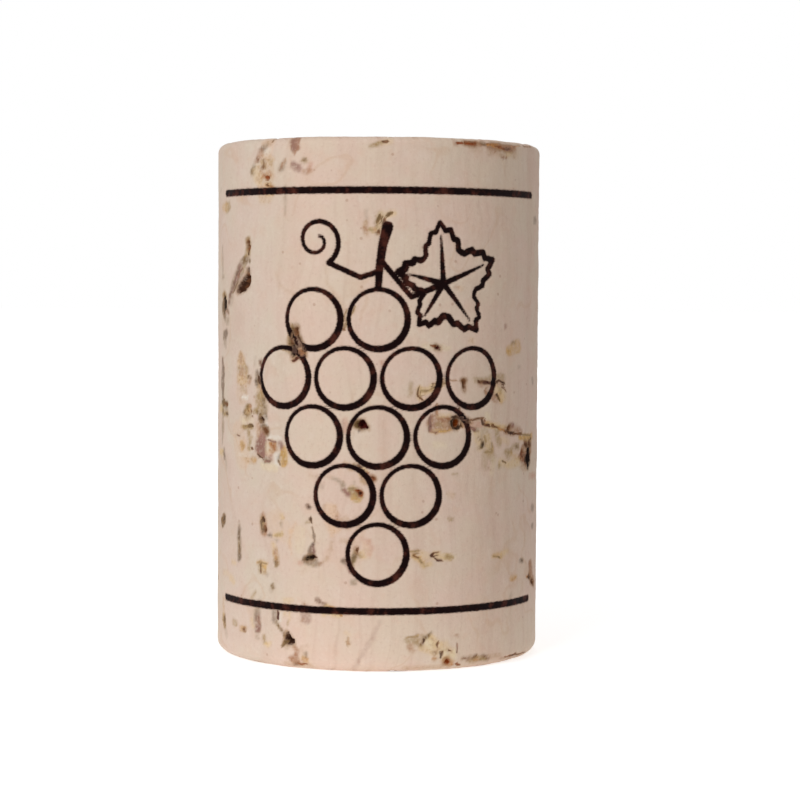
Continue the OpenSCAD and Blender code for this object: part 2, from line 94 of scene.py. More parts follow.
DEEP = [
    # crumbly patch under the upper rim, far left
    (-9.85, 36.55, -9.7, 36.35, 0.14, 0.16, 0.07, "brown"),
    (-9.15, 36.4, -9.1, 36, 0.12, 0.14, 0.06, "brown"),
    (-9.3, 35.92, -9.05, 35.92, 0.1, 0.14, 0.09, "brown"),
    (-10.25, 36.05, -10.1, 35.95, 0.12, 0.1, 0.06, "olive"),
    (-10.45, 35.75, -10.35, 35.5, 0.14, 0.12, 0.06, "olive"),
    (-8.88, 35.16, -8.64, 35.12, 0.22, 0.3, 0.16, "rust"),
    (-8.75, 35.1, -8.65, 35.09, 0.12, 0.12, 0.1, "garnet"),
    (-9.15, 35.3, -8.95, 35.25, 0.12, 0.16, 0.08, "sienna"),
    (-8.6, 35.65, -8.5, 35.5, 0.14, 0.16, 0.05, "clay"),
    (-8.85, 34.62, -8.65, 34.58, 0.14, 0.16, 0.16, "brown"),
    (-8.45, 34.5, -8.2, 34.42, 0.14, 0.18, 0.09, "sienna"),
    (-9.75, 35.15, -9.6, 35.05, 0.1, 0.12, 0.05, "clay"),
    (-9.5, 35.75, -9.4, 35.6, 0.12, 0.12, 0.06, "clay"), (-9.6, 35.9, -9.5, 35.85, 0.1, 0.1, 0.06, "clay"),
    (-9.3, 37.35, -9.1, 37.25, 0.12, 0.14, 0.05, "drab"),
    # under the upper rim, middle
    (-7.05, 36.4, -7.3, 36.1, 0.08, 0.14, 0.05, "clay"),
    (-7.35, 36.05, -7.45, 35.8, 0.12, 0.08, 0.05, "clay"),
    (-0.5, 37.3, -0.15, 37.38, 0.1, 0.12, 0.05, "moss"),
    (-0.15, 37.38, 0.2, 37.5, 0.12, 0.14, 0.08, "moss"),
    (0.25, 37.58, 0.65, 37.64, 0.16, 0.2, 0.16, "brown"),
    (-5.6, 36.3, -5.42, 36.38, 0.12, 0.14, 0.08, "olive"),
    # cluster above the mark
    (0.1, 32.4, -0.08, 31.98, 0.26, 0.28, 0.16, "olive"),
    (-0.1, 31.8, -0.15, 31.6, 0.14, 0.12, 0.12, "moss"),
    (0.02, 31.45, 0.03, 31.2, 0.1, 0.16, 0.16, "brown"),
    (-0.05, 31.2, -0.12, 31.15, 0.12, 0.12, 0.12, "brown"),
    (0.95, 32.62, 0.6, 32.45, 0.2, 0.2, 0.16, "olive"), (0.45, 32.25, 0.42, 32, 0.14, 0.18, 0.18, "brown"),
    (0.42, 32, 0.32, 31.75, 0.18, 0.16, 0.25, "umber"), (-0.65, 31.4, -0.5, 31.3, 0.14, 0.14, 0.1, "moss"),
    # tip of the left crack, its fibrous band and its cavity
    (-10.85, 30.6, -10.82, 30.15, 0.34, 0.36, 0.3, "brown"),
    (-10.65, 30.3, -10.62, 30.1, 0.2, 0.26, 0.3, "sienna"),
    (-10.85, 30.1, -10.8, 29.95, 0.3, 0.3, 0.3, "sienna"),
    (-10.88, 29.9, -10.85, 29.7, 0.26, 0.24, 0.25, "umber"),
    (-11.4, 29.4, -11.1, 29.28, 0.24, 0.24, 0.12, "olive"),
    (-10.75, 29.4, -10.7, 29.2, 0.16, 0.18, 0.1, "olive"),
    (-11.45, 29.2, -11.5, 29.1, 0.14, 0.14, 0.08, "olive"),
    (-11.55, 28.75, -12.2, 28.1, 0.07, 0.08, 0.05, "plum"),
    (-12.2, 27.75, -13, 26.9, 0.07, 0.08, 0.05, "drab"), (-10.98, 28.1, -11, 27.6, 0.5, 0.6, 0.7, "brown"),
    (-11.1, 27.6, -12, 27.25, 0.6, 0.4, 0.7, "brown"), (-10.8, 28.6, -10.8, 27.5, 0.32, 0.34, 0.8, "umber"),
    (-11.1, 28.12, -12.25, 27.2, 0.24, 0.34, 0.7, "umber"),
    (-11.1, 27.55, -11.5, 27.42, 0.32, 0.32, 0.8, "brown"),
    (-11.2, 27.18, -12.3, 27, 0.2, 0.32, 0.6, "umber"),
    # dark pit at the crack's foot and the smears below it
    (-15.1, 25.75, -14.9, 25.4, 0.36, 0.34, 0.15, "drab"),
    (-14.95, 26.7, -14.8, 26.5, 0.36, 0.36, 0.15, "olive"),
    (-14.8, 26.35, -14.62, 26, 0.7, 0.76, 0.25, "black"),
    (-14.35, 25.75, -13.7, 25.35, 0.16, 0.1, 0.08, "slate"),
    (-14.8, 18.75, -14, 18.65, 0.12, 0.24, 0.2, "brown"),
    (-15.3, 18.55, -14.9, 18.5, 0.14, 0.12, 0.1, "olive"),
    (-15, 18.95, -14.6, 18.9, 0.12, 0.1, 0.08, "olive"),
    (-15.3, 18.2, -15.2, 18.05, 0.24, 0.2, 0.1, "olive"), (-14.5, 18.02, -14, 18, 0.14, 0.18, 0.12, "drab"),
    # the three-cornered pore
    (-6.45, 24.35, -6.5, 23.3, 0.36, 0.56, 0.25, "olive"),
    (-6, 23.75, -5.85, 22.95, 0.5, 0.76, 0.2, "drab"), (-5.95, 22.7, -5.6, 22.6, 0.5, 0.6, 0.25, "brown"),
    (-6.12, 24.42, -6, 24, 0.3, 0.34, 0.35, "brown"), (-5.98, 23.95, -5.8, 23.5, 0.22, 0.16, 0.3, "umber"),
    (-6.45, 23.2, -6.32, 22.65, 0.34, 0.4, 0.5, "black"),
    (-6.62, 23.7, -6.55, 23.3, 0.12, 0.16, 0.2, "brown"), (-6.08, 23.65, -6, 23.4, 0.32, 0.3, 0.15, "mist"),
    (-5.72, 23.27, -5.45, 23.17, 0.18, 0.26, 0.4, "black"),
    (-5.42, 23.1, -5.36, 22.75, 0.26, 0.22, 0.4, "umber"),
    (-5.92, 23.08, -5.82, 22.9, 0.32, 0.3, 0.15, "sand"),
    (-5.85, 22.7, -5.6, 22.6, 0.32, 0.34, 0.2, "amber"),
    (-6.45, 22.12, -5.85, 22.38, 0.14, 0.28, 0.3, "garnet"),
    (-5.8, 22.4, -5.4, 22.48, 0.24, 0.26, 0.25, "umber"), (-7.3, 22.88, -6.8, 23, 0.08, 0.14, 0.05, "moss"),
    # two fine slanting lines
    (-1.65, 26, -2.3, 24.6, 0.07, 0.1, 0.05, "moss"), (-2.3, 25.8, -2.55, 24.7, 0.05, 0.08, 0.04, "moss"),
    (-2.6, 24.42, -2.4, 24.4, 0.12, 0.14, 0.16, "brown"),
    # small pit right of the middle
    (3.7, 23.25, 4.2, 23.15, 0.08, 0.24, 0.2, "sienna"),
    (4.25, 23.1, 4.4, 23.05, 0.34, 0.32, 0.35, "garnet"),
    # upright strip left of the mark
    (-9.4, 22, -9.3, 21.8, 0.2, 0.2, 0.12, "brown"), (-9.62, 20.85, -9.45, 20.4, 0.24, 0.28, 0.2, "umber"),
    (-9.85, 20.65, -9.7, 20.4, 0.2, 0.2, 0.1, "drab"), (-9.35, 20.25, -9.3, 20, 0.16, 0.12, 0.1, "clay"),
    (-9.45, 19.5, -9.3, 19.3, 0.2, 0.2, 0.08, "moss"), (-9, 19.25, -8.95, 19.1, 0.16, 0.14, 0.1, "olive"),
    (-9.15, 18.75, -8.95, 18.65, 0.14, 0.12, 0.08, "olive"),
    (-10.1, 18.4, -9.75, 18.35, 0.14, 0.18, 0.08, "moss"),
    (-9.65, 18.3, -9.3, 18.3, 0.2, 0.2, 0.1, "olive"), (-8.85, 18.25, -8.75, 18, 0.16, 0.14, 0.1, "drab"),
    (-9.33, 17.9, -9.15, 17.82, 0.28, 0.34, 0.35, "umber"),
    (-9.55, 17.75, -9.4, 17.7, 0.16, 0.2, 0.12, "olive"),
    (-8.9, 17.1, -8.72, 16.95, 0.4, 0.36, 0.12, "brown"),
    (-9.6, 17.35, -9.5, 17.15, 0.14, 0.14, 0.06, "clay"),
    # granular triangle, disc, olive streak and spots
    (-11.75, 21.3, -11.4, 21.25, 0.14, 0.16, 0.05, "clay"),
    (-11.9, 20.98, -11.5, 20.9, 0.14, 0.12, 0.06, "clay"),
    (-11.85, 22.3, -11.85, 22, 0.14, 0.12, 0.07, "mauve"),
    (-10.78, 20.85, -10.5, 20.78, 0.2, 0.12, 0.1, "olive"),
    (-10.6, 20.6, -10.58, 20.45, 0.12, 0.1, 0.06, "clay"),
    (-11.35, 18.25, -11.22, 18.35, 0.14, 0.16, 0.09, "olive"),
    (-11, 18.6, -10.85, 18.7, 0.16, 0.16, 0.09, "olive"),
    (-10.9, 18.45, -10.8, 18.4, 0.12, 0.12, 0.16, "brown"),
    (-10.65, 18.75, -10.5, 18.68, 0.12, 0.1, 0.16, "clay"),
    (-10.5, 18.42, -10.38, 18.4, 0.12, 0.1, 0.16, "brown"),
    (-11.1, 18.1, -10.95, 18.08, 0.14, 0.12, 0.1, "olive"),
    (-10.7, 18.1, -10.6, 18.05, 0.12, 0.12, 0.06, "moss"),
    (-10.35, 17.98, -10.25, 17.95, 0.1, 0.1, 0.16, "brown"),
    (-11.5, 17.12, -10.9, 17.2, 0.1, 0.18, 0.08, "moss"),
    (-10.9, 17.22, -10.45, 17.28, 0.2, 0.24, 0.12, "olive"),
    (-10.38, 17.32, -10.18, 17.3, 0.26, 0.22, 0.16, "umber"),
    (-12.35, 16.5, -11.95, 16.48, 0.09, 0.14, 0.16, "plum"),
    (-10.35, 15.72, -10.2, 15.65, 0.16, 0.18, 0.16, "brown"),
    (-10.7, 15.65, -10.5, 15.65, 0.12, 0.12, 0.06, "moss"),
    (-10.65, 16.9, -10.6, 16.8, 0.12, 0.1, 0.05, "moss"),
    (-10.35, 16.45, -10.25, 16.4, 0.12, 0.1, 0.05, "moss"),
    # foot of the mauve oval and the spots beside it
    (-9.75, 15.2, -9.1, 15.05, 0.06, 0.12, 0.1, "umber"),
    (-8.9, 14.85, -8.5, 14.88, 0.1, 0.14, 0.16, "plum"), (-8.5, 14.95, -8.35, 15.2, 0.1, 0.1, 0.08, "plum"),
    (-8.6, 16.35, -7.85, 16.3, 0.08, 0.1, 0.05, "plum"), (-7.42, 16.1, -7.38, 16, 0.14, 0.14, 0.08, "plum"),
    (-7.6, 14.95, -7.5, 14.7, 0.12, 0.1, 0.16, "olive"), (-7.52, 15.3, -7.58, 15, 0.08, 0.1, 0.05, "drab"),
    # the pit under the middle
    (-1.5, 17.75, -1.4, 17.68, 0.5, 0.56, 0.3, "olive"),
    (-1.12, 17.72, -1.02, 17.6, 0.62, 0.6, 0.6, "garnet"),
    (-0.9, 17.5, -0.72, 17.4, 0.34, 0.16, 0.5, "garnet"),
    (-1.3, 17.4, -1.3, 17.2, 0.18, 0.08, 0.12, "umber"),
    (-1.55, 18, -1.25, 17.98, 0.12, 0.12, 0.12, "olive"),
    # hooks and dashes right of the middle
    (2.95, 20.3, 2.85, 20, 0.07, 0.11, 0.16, "olive"), (2.85, 19.98, 2.95, 19.7, 0.12, 0.14, 0.16, "brown"),
    (2.95, 19.68, 3.3, 19.47, 0.12, 0.16, 0.16, "brown"), (3.1, 20, 3.9, 20.15, 0.06, 0.09, 0.05, "moss"),
    (4, 20.62, 4.7, 20.55, 0.06, 0.1, 0.08, "brown"), (4.75, 20.9, 4.55, 20.4, 0.06, 0.14, 0.1, "brown"),
    (4.5, 20.35, 4.45, 20.05, 0.14, 0.06, 0.16, "olive"),
    (3.9, 20.2, 4.4, 20.45, 0.06, 0.12, 0.08, "olive"), (4.65, 20.5, 5.15, 20.62, 0.09, 0.05, 0.06, "moss"),
    (5.3, 20.78, 5.95, 20.78, 0.03, 0.05, 0.04, "clay"), (6.3, 20.8, 6.65, 20.8, 0.12, 0.14, 0.12, "brown"),
    (6.44, 20.72, 6.5, 19.95, 0.36, 0.08, 0.2, "brown"), (7.7, 20.7, 8.3, 20.6, 0.12, 0.18, 0.2, "brown"),
    (8.2, 20.58, 9.2, 20.48, 0.18, 0.24, 0.25, "garnet"), (9.2, 20.5, 9.9, 20.66, 0.22, 0.2, 0.25, "umber"),
    (9.9, 20.65, 10.5, 20.48, 0.18, 0.1, 0.15, "umber"), (8.35, 19.95, 8.9, 19.5, 0.1, 0.14, 0.08, "clay"),
    (9.6, 19.68, 9.75, 19.6, 0.22, 0.24, 0.25, "umber"), (9.82, 19.5, 9.98, 19.3, 0.24, 0.28, 0.2, "olive"),
    (10.2, 20.2, 10.7, 19.9, 0.07, 0.05, 0.08, "brown"),
    (11.35, 23.45, 11.7, 23.4, 0.1, 0.12, 0.06, "olive"), (10, 20.1, 10.1, 19.9, 0.1, 0.1, 0.08, "moss"),
    # outline of the tan patch and the hot coloured cavity beside it
    (3.78, 18.3, 3.78, 17.3, 0.12, 0.18, 0.06, "plum"), (3.75, 17.15, 4.4, 17.1, 0.1, 0.08, 0.04, "clay"),
    (4.4, 17.1, 5.3, 17.25, 0.08, 0.08, 0.04, "ochre"), (4.32, 19.1, 4.3, 18.45, 0.08, 0.16, 0.06, "clay"),
    (3.95, 18.25, 4.3, 18.15, 0.1, 0.12, 0.05, "clay"), (4.3, 18.15, 4.65, 18.12, 0.08, 0.08, 0.05, "clay"),
    (5, 18.12, 5.4, 18.15, 0.08, 0.1, 0.06, "clay"), (4.75, 18.05, 4.9, 18, 0.12, 0.12, 0.07, "sienna"),
    (5.1, 18.1, 5.25, 18.05, 0.12, 0.12, 0.08, "sienna"),
    (4.6, 17.45, 4.75, 17.4, 0.12, 0.12, 0.04, "clay"),
    (5.2, 17.4, 5.35, 17.35, 0.12, 0.12, 0.05, "sienna"),
    (5.75, 17.85, 5.75, 17.6, 0.6, 0.62, 0.4, "umber"),
    (5.84, 17.88, 5.84, 17.58, 0.4, 0.42, 0.35, "ember"),
    (5.42, 17.95, 5.45, 17.55, 0.16, 0.2, 0.4, "black"),
    (5.55, 18.15, 6.2, 18.12, 0.12, 0.16, 0.4, "umber"),
    (5.75, 17.36, 6.05, 17.42, 0.14, 0.16, 0.4, "black"),
    (6.32, 18.1, 6.46, 17.97, 0.3, 0.34, 0.4, "black"), (6.22, 17.72, 6.3, 17.5, 0.14, 0.14, 0.3, "umber"),
    (6.7, 17.9, 7, 17.8, 0.34, 0.28, 0.3, "umber"), (7.1, 17.95, 8.4, 18, 0.12, 0.08, 0.12, "brown"),
    (6.9, 17.45, 7.4, 17.25, 0.24, 0.26, 0.1, "plum"), (7.4, 17.2, 7.7, 17.15, 0.22, 0.14, 0.12, "brown"),
    (6.05, 18.75, 6.1, 18.4, 0.1, 0.14, 0.16, "olive"),
    # the long crack right of it
    (8.15, 17.85, 8.2, 17.55, 0.16, 0.18, 0.2, "umber"), (8.3, 17.55, 8.55, 17.5, 0.14, 0.18, 0.2, "brown"),
    (8.6, 17.55, 8.85, 17.45, 0.2, 0.2, 0.2, "garnet"), (9.1, 17.52, 9.7, 17.3, 0.18, 0.1, 0.16, "brown"),
    (9.7, 17.25, 10.5, 17, 0.06, 0.1, 0.06, "amber"), (10.5, 16.95, 11, 16.95, 0.14, 0.24, 0.2, "brown"),
    (10.95, 17, 11.1, 17.3, 0.34, 0.3, 0.2, "brown"), (11, 16.88, 11.8, 16.82, 0.24, 0.2, 0.25, "umber"),
    (11.8, 16.8, 13, 16.65, 0.2, 0.14, 0.16, "brown"), (13, 16.65, 14.9, 16.5, 0.1, 0.12, 0.1, "moss"),
    (11.2, 17.36, 11.55, 17.45, 0.2, 0.14, 0.1, "plum"), (14.8, 16.4, 14.95, 16.2, 0.24, 0.3, 0.2, "drab"),
    (13.55, 16, 13.95, 15.85, 0.34, 0.4, 0.2, "brown"), (14.5, 15.98, 14.7, 15.85, 0.4, 0.4, 0.2, "brown"),
    (13, 15.32, 13.05, 15.12, 0.44, 0.44, 0.25, "sienna"),
    (13.6, 15.05, 13.75, 14.65, 0.6, 0.64, 0.3, "clay"), (14.3, 15.3, 14.3, 14.6, 0.7, 0.76, 0.25, "black"),
    (14.2, 14.4, 14.2, 14.15, 0.4, 0.3, 0.2, "black"),
    # small marks right of the middle
    (8.1, 16.4, 8.18, 16.2, 0.12, 0.18, 0.12, "umber"), (8.18, 16.2, 8.12, 16, 0.18, 0.14, 0.12, "black"),
    (7.85, 15.95, 8, 15.85, 0.14, 0.12, 0.1, "olive"), (7.7, 16.6, 8, 16.5, 0.08, 0.1, 0.08, "brown"),
    (12.1, 15.8, 12.3, 15.75, 0.18, 0.2, 0.1, "olive"),
    (10.2, 14.88, 10.7, 14.75, 0.08, 0.14, 0.08, "olive"), (9.9, 14.6, 9.9, 14.4, 0.2, 0.16, 0.08, "moss"),
    (10.9, 15.1, 11.1, 15.05, 0.1, 0.1, 0.06, "moss"), (6.76, 15.72, 6.8, 15.68, 0.15, 0.14, 0.08, "grey"),
    (5.5, 14.1, 5.9, 14.1, 0.05, 0.08, 0.04, "moss"), (5.3, 10.95, 5.55, 10.85, 0.13, 0.13, 0.08, "moss"),
    (5.7, 27.4, 5.9, 27.4, 0.1, 0.12, 0.04, "clay"), (8.4, 16.75, 8.5, 16.3, 0.06, 0.08, 0.05, "moss"),
    (9.15, 16.3, 9.2, 15.6, 0.08, 0.08, 0.05, "moss"), (8.5, 15.55, 9.1, 15.5, 0.06, 0.08, 0.05, "moss"),
    (8.75, 14.4, 9.1, 14.2, 0.06, 0.08, 0.04, "clay"),
    # two crusted pores below the middle
    (-1.7, 14.75, -1.35, 14.68, 0.14, 0.22, 0.12, "olive"),
    (-1.3, 14.6, -1.1, 14.3, 0.22, 0.18, 0.12, "brown"),
    (-1.1, 14.25, -1.15, 13.9, 0.14, 0.1, 0.08, "brown"), (-0.72, 14.2, -0.7, 14, 0.2, 0.22, 0.15, "rust"),
    (-0.65, 13.85, -0.65, 13.7, 0.12, 0.12, 0.08, "brown"),
    (-0.4, 13.9, -0.33, 13.8, 0.32, 0.34, 0.2, "sienna"),
    (-1.95, 13.12, -1.7, 13.12, 0.12, 0.16, 0.08, "olive"),
    (-1.4, 13, -1.2, 12.72, 0.26, 0.34, 0.3, "rust"), (-1.3, 12.85, -1.2, 12.72, 0.14, 0.16, 0.3, "garnet"),
    (-1.6, 12.3, -1.45, 12.3, 0.1, 0.08, 0.05, "moss"),
    # specks and tan patch left of them
    (-5.18, 11.9, -5.08, 11.76, 0.12, 0.12, 0.1, "brown"),
    (-5.02, 11.72, -4.86, 11.68, 0.12, 0.08, 0.08, "umber"),
    (-4.88, 11, -4.94, 10.7, 0.14, 0.22, 0.17, "umber"), (-5, 10.65, -5.25, 10.58, 0.1, 0.05, 0.06, "moss"),
    (-4.75, 10.35, -4.6, 9.3, 0.05, 0.08, 0.05, "slate"), (-4.7, 9.12, -4.7, 9, 0.16, 0.16, 0.12, "umber"),
    (-4.62, 8.9, -4.58, 8.6, 0.1, 0.14, 0.1, "plum"), (-4.1, 7.7, -4, 7.7, 0.12, 0.1, 0.06, "brown"),
    (-2.9, 11.05, -2.85, 10.95, 0.12, 0.1, 0.06, "sienna"),
    (-3.3, 10.85, -3.2, 10.75, 0.1, 0.08, 0.04, "amber"),
    # black slit and the broken strokes right of it
    (-5.15, 8.06, -4.8, 8.13, 0.3, 0.34, 0.6, "black"), (-4.8, 8.15, -4.35, 8.2, 0.28, 0.1, 0.5, "garnet"),
    (-5.4, 7.92, -5.2, 8.02, 0.12, 0.16, 0.1, "drab"), (-5.1, 8.08, -4.6, 8.15, 0.18, 0.2, 0.7, "black"),
    (-4.75, 7.6, -4.6, 7.58, 0.1, 0.1, 0.05, "moss"), (-4.1, 7.7, -4, 7.7, 0.12, 0.1, 0.06, "clay"),
    (-1.38, 8.9, -1.45, 8.65, 0.26, 0.28, 0.16, "brown"),
    (-1.5, 8.45, -1.55, 8.3, 0.16, 0.14, 0.08, "olive"), (-1.7, 8.35, -1.75, 8, 0.14, 0.18, 0.08, "drab"),
    (-1.75, 7.95, -1.8, 7.75, 0.14, 0.12, 0.08, "olive"), (-1.92, 7.6, -1.85, 7.3, 0.16, 0.1, 0.06, "plum"),
    (-2.15, 8.05, -2, 7.95, 0.16, 0.16, 0.06, "slate"), (-1.3, 8.35, -1.25, 8.25, 0.12, 0.1, 0.06, "moss"),
    # lower left
    (-15.15, 10.05, -14.85, 10.25, 0.4, 0.38, 0.25, "drab"),
    (-15.1, 9.85, -14.95, 9.8, 0.2, 0.2, 0.2, "olive"), (-11.95, 9.45, -11.92, 9.1, 0.22, 0.2, 0.1, "drab"),
    (-11.88, 8.5, -11.88, 8, 0.1, 0.2, 0.09, "drab"),
    (-11.92, 7.75, -11.95, 7.45, 0.24, 0.18, 0.12, "drab"),
    (-9.08, 10.68, -9, 10.55, 0.26, 0.28, 0.3, "umber"),
    (-9.3, 10.5, -9.25, 9.85, 0.12, 0.16, 0.12, "drab"), (-8.92, 10.1, -8.8, 9.8, 0.24, 0.28, 0.2, "brown"),
    (-9.1, 10.3, -9, 10.2, 0.14, 0.1, 0.2, "moss"), (-9.1, 9.95, -9.1, 9.7, 0.16, 0.16, 0.12, "drab"),
    (-8.48, 9.5, -8.32, 9.5, 0.14, 0.16, 0.1, "drab"), (-7.8, 7.7, -7.75, 7.5, 0.2, 0.18, 0.1, "olive"),
    (-9.6, 7.42, -8.75, 7.42, 0.05, 0.05, 0.04, "moss"), (-9.3, 7.3, -9.28, 6.85, 0.1, 0.12, 0.1, "olive"),
    (-9.29, 6.85, -9.26, 6.68, 0.16, 0.2, 0.16, "brown"),
    (-8.12, 5.88, -8.06, 5.75, 0.16, 0.16, 0.08, "olive"),
    (-7.9, 8.4, -7.85, 8.3, 0.1, 0.1, 0.06, "sienna"), (-9.5, 3.5, -9.5, 3, 0.08, 0.1, 0.05, "plum"),
    (-9.42, 2.8, -9.5, 2.5, 0.2, 0.18, 0.1, "plum"), (-9.85, 2.7, -9.8, 2.4, 0.16, 0.14, 0.08, "plum"),
    (-9.85, 1.95, -9.55, 1.95, 0.14, 0.12, 0.06, "mist"),
    (-8.98, 2.1, -8.92, 1.75, 0.12, 0.1, 0.08, "moss"),
    (-11.28, 2.36, -11.15, 2.3, 0.18, 0.2, 0.14, "brown"),
    (-14.75, 2.75, -14.65, 2.4, 0.34, 0.36, 0.18, "drab"),
    # right of the lower middle
    (2.1, 8.65, 3.1, 8.68, 0.04, 0.07, 0.04, "moss"), (2.6, 8.42, 2.95, 8.18, 0.1, 0.14, 0.16, "brown"),
    (2.95, 8.15, 3.25, 7.8, 0.1, 0.1, 0.05, "moss"), (3.3, 7.7, 3.6, 7.65, 0.1, 0.12, 0.05, "moss"),
    (3.9, 8.38, 4.02, 8.4, 0.24, 0.28, 0.3, "garnet"), (4.05, 8.55, 4.5, 8.55, 0.06, 0.06, 0.05, "brown"),
    (4.15, 8.22, 4.35, 8.04, 0.08, 0.12, 0.16, "garnet"),
    (4.35, 8.02, 4.85, 7.94, 0.13, 0.07, 0.12, "garnet"), (5.15, 8.25, 5.5, 8.1, 0.14, 0.16, 0.08, "moss"),
    (9.3, 7.95, 10.1, 7.85, 0.07, 0.1, 0.05, "moss"), (12.85, 7.35, 13.25, 7.25, 0.2, 0.22, 0.15, "drab"),
    (11.6, 6.1, 11.95, 6.1, 0.1, 0.12, 0.06, "amber"), (14.6, 6.05, 14.95, 6, 0.34, 0.32, 0.3, "umber"),
    (14, 6, 14.5, 6, 0.12, 0.24, 0.15, "amber"), (15.4, 5.6, 16.2, 5.3, 0.4, 0.4, 0.3, "brown"),
    # lower rim, left
    (-7.62, 4.1, -7.62, 3.5, 0.22, 0.24, 0.3, "garnet"),
    (-7.5, 3.05, -7.35, 2.8, 0.12, 0.12, 0.09, "olive"), (-7.3, 2.75, -7.05, 2.4, 0.12, 0.1, 0.09, "olive"),
    (-7.7, 3.15, -7.6, 3.1, 0.12, 0.1, 0.08, "olive"), (-6.95, 1.95, -7.35, 1.45, 0.26, 0.08, 0.2, "olive"),
    (-6.82, 2.4, -6.7, 2.1, 0.34, 0.66, 0.8, "umber"), (-6.85, 2.02, -6.35, 1.98, 0.4, 0.36, 0.8, "umber"),
    (-6.7, 2.55, -6.62, 2.3, 0.2, 0.34, 0.8, "umber"), (-6.78, 3.4, -6.72, 3.25, 0.1, 0.1, 0.06, "moss"),
    (-5.4, 4.75, -5.35, 4.6, 0.16, 0.14, 0.06, "clay"), (-5.5, 3.6, -5.4, 3.6, 0.1, 0.08, 0.05, "clay"),
    (-4.4, 5.15, -4.15, 5, 0.1, 0.16, 0.1, "brown"), (-3.95, 4.9, -3.75, 4.82, 0.12, 0.14, 0.1, "brown"),
    (-3.45, 4.7, -2.8, 4.5, 0.08, 0.1, 0.06, "amber"), (-2.8, 4.45, -2.5, 4.1, 0.1, 0.1, 0.06, "amber"),
    (-2.08, 2.2, -2.02, 2.1, 0.14, 0.12, 0.08, "sienna"), (-2.05, 2.5, -2.05, 1.9, 0.03, 0.03, 0.03, "tan"),
    (-6.1, 1.6, -5.95, 1.5, 0.24, 0.2, 0.08, "clay"), (-6, 1.3, -6, 0.9, 0.1, 0.12, 0.07, "clay"),
    (-6.35, 0.75, -6.05, 0.65, 0.18, 0.2, 0.1, "clay"), (-5.25, 1.25, -5.2, 1, 0.14, 0.16, 0.07, "olive"),
    (-5.4, 0.75, -5.15, 0.75, 0.12, 0.14, 0.08, "amber"),
    (-5.9, 0.35, -5.2, 0.35, 0.12, 0.14, 0.12, "sienna"), (-6.2, 0.3, -5.9, 0.3, 0.12, 0.12, 0.12, "brown"),
    # crumbly patch on the lower rim, right
    (3.95, 2.74, 3.72, 2.66, 0.08, 0.12, 0.09, "olive"), (3.72, 2.62, 3.46, 2.44, 0.1, 0.12, 0.12, "olive"),
    (3.42, 2.42, 3.37, 2.12, 0.14, 0.16, 0.16, "umber"), (3.34, 2.1, 3.16, 1.95, 0.14, 0.1, 0.14, "brown"),
    (2.2, 2.55, 3, 2.6, 0.04, 0.06, 0.03, "moss"), (2.42, 1.9, 2.45, 1.65, 0.18, 0.2, 0.07, "clay"),
    (4.6, 2.15, 4.52, 2.02, 0.1, 0.12, 0.16, "brown"), (4.46, 1.9, 4.45, 1.8, 0.14, 0.14, 0.16, "brown"),
    (4.1, 1.42, 4.35, 1.38, 0.08, 0.1, 0.07, "brown"), (4.85, 1.52, 4.72, 1.35, 0.09, 0.14, 0.16, "brown"),
    (4.68, 1.3, 4.72, 1.05, 0.14, 0.12, 0.16, "umber"), (5.38, 1.55, 5.45, 1.45, 0.13, 0.13, 0.16, "brown"),
    (2.8, 2.3, 2.9, 2.15, 0.1, 0.08, 0.06, "moss"), (6.03, 1.95, 6.03, 1.25, 0.04, 0.06, 0.04, "plum"),
    (5.2, 0.7, 5.3, 0.62, 0.44, 0.38, 0.3, "rust"), (5.4, 0.5, 5.6, 0.4, 0.24, 0.18, 0.15, "amber"),
    (4.15, 0.98, 4.3, 0.92, 0.16, 0.16, 0.07, "amber"), (5.85, 2.5, 6.05, 2.45, 0.12, 0.12, 0.05, "clay"),
    (6.55, 0.76, 6.95, 0.76, 0.1, 0.12, 0.1, "brown"), (7.3, 0.85, 7.7, 0.88, 0.14, 0.12, 0.08, "brown"),
    (8.35, 0.85, 8.6, 0.82, 0.14, 0.14, 0.08, "brown"), (8.6, 0.8, 8.85, 0.5, 0.12, 0.12, 0.1, "brown"),
    (6, 0.48, 6.3, 0.3, 0.2, 0.16, 0.16, "sienna"), (3.1, 1.85, 3.3, 1.85, 0.1, 0.1, 0.06, "moss"),
    (10.8, 0.45, 11.7, 0.45, 0.12, 0.2, 0.15, "sienna"), (11.7, 0.45, 12.6, 0.4, 0.24, 0.18, 0.2, "brown"),
    (12.6, 0.4, 14.2, 0.3, 0.12, 0.06, 0.1, "brown"), (7.6, 0.62, 7.9, 0.58, 0.12, 0.1, 0.08, "amber"),
    # crust along the upper rim, right
    (5.8, 37.7, 6.2, 37.68, 0.26, 0.3, 0.2, "rust"), (6.5, 37.66, 7.35, 37.62, 0.32, 0.34, 0.14, "sienna"),
    (6.6, 37.66, 7.2, 37.62, 0.16, 0.18, 0.16, "rust"), (7.5, 37.66, 7.9, 37.64, 0.28, 0.26, 0.1, "clay"),
    (7.95, 37.7, 8.15, 37.66, 0.22, 0.2, 0.14, "olive"), (8.4, 37.64, 9, 37.6, 0.26, 0.3, 0.1, "amber"),
    (9, 37.6, 9.7, 37.5, 0.34, 0.36, 0.14, "amber"), (9.5, 37.5, 10.3, 37.42, 0.18, 0.22, 0.2, "sienna"),
    (9.7, 37.64, 10.3, 37.6, 0.12, 0.14, 0.12, "clay"),
    (9.3, 37.48, 9.85, 37.44, 0.14, 0.18, 0.14, "sienna"),
    (10.3, 37.44, 11.1, 37.4, 0.34, 0.3, 0.14, "clay"), (10.3, 37.36, 10.9, 37.36, 0.08, 0.1, 0.15, "plum"),
    (10.4, 37.62, 11.2, 37.62, 0.1, 0.12, 0.1, "clay"), (11.1, 37.5, 11.8, 37.62, 0.24, 0.14, 0.14, "clay"),
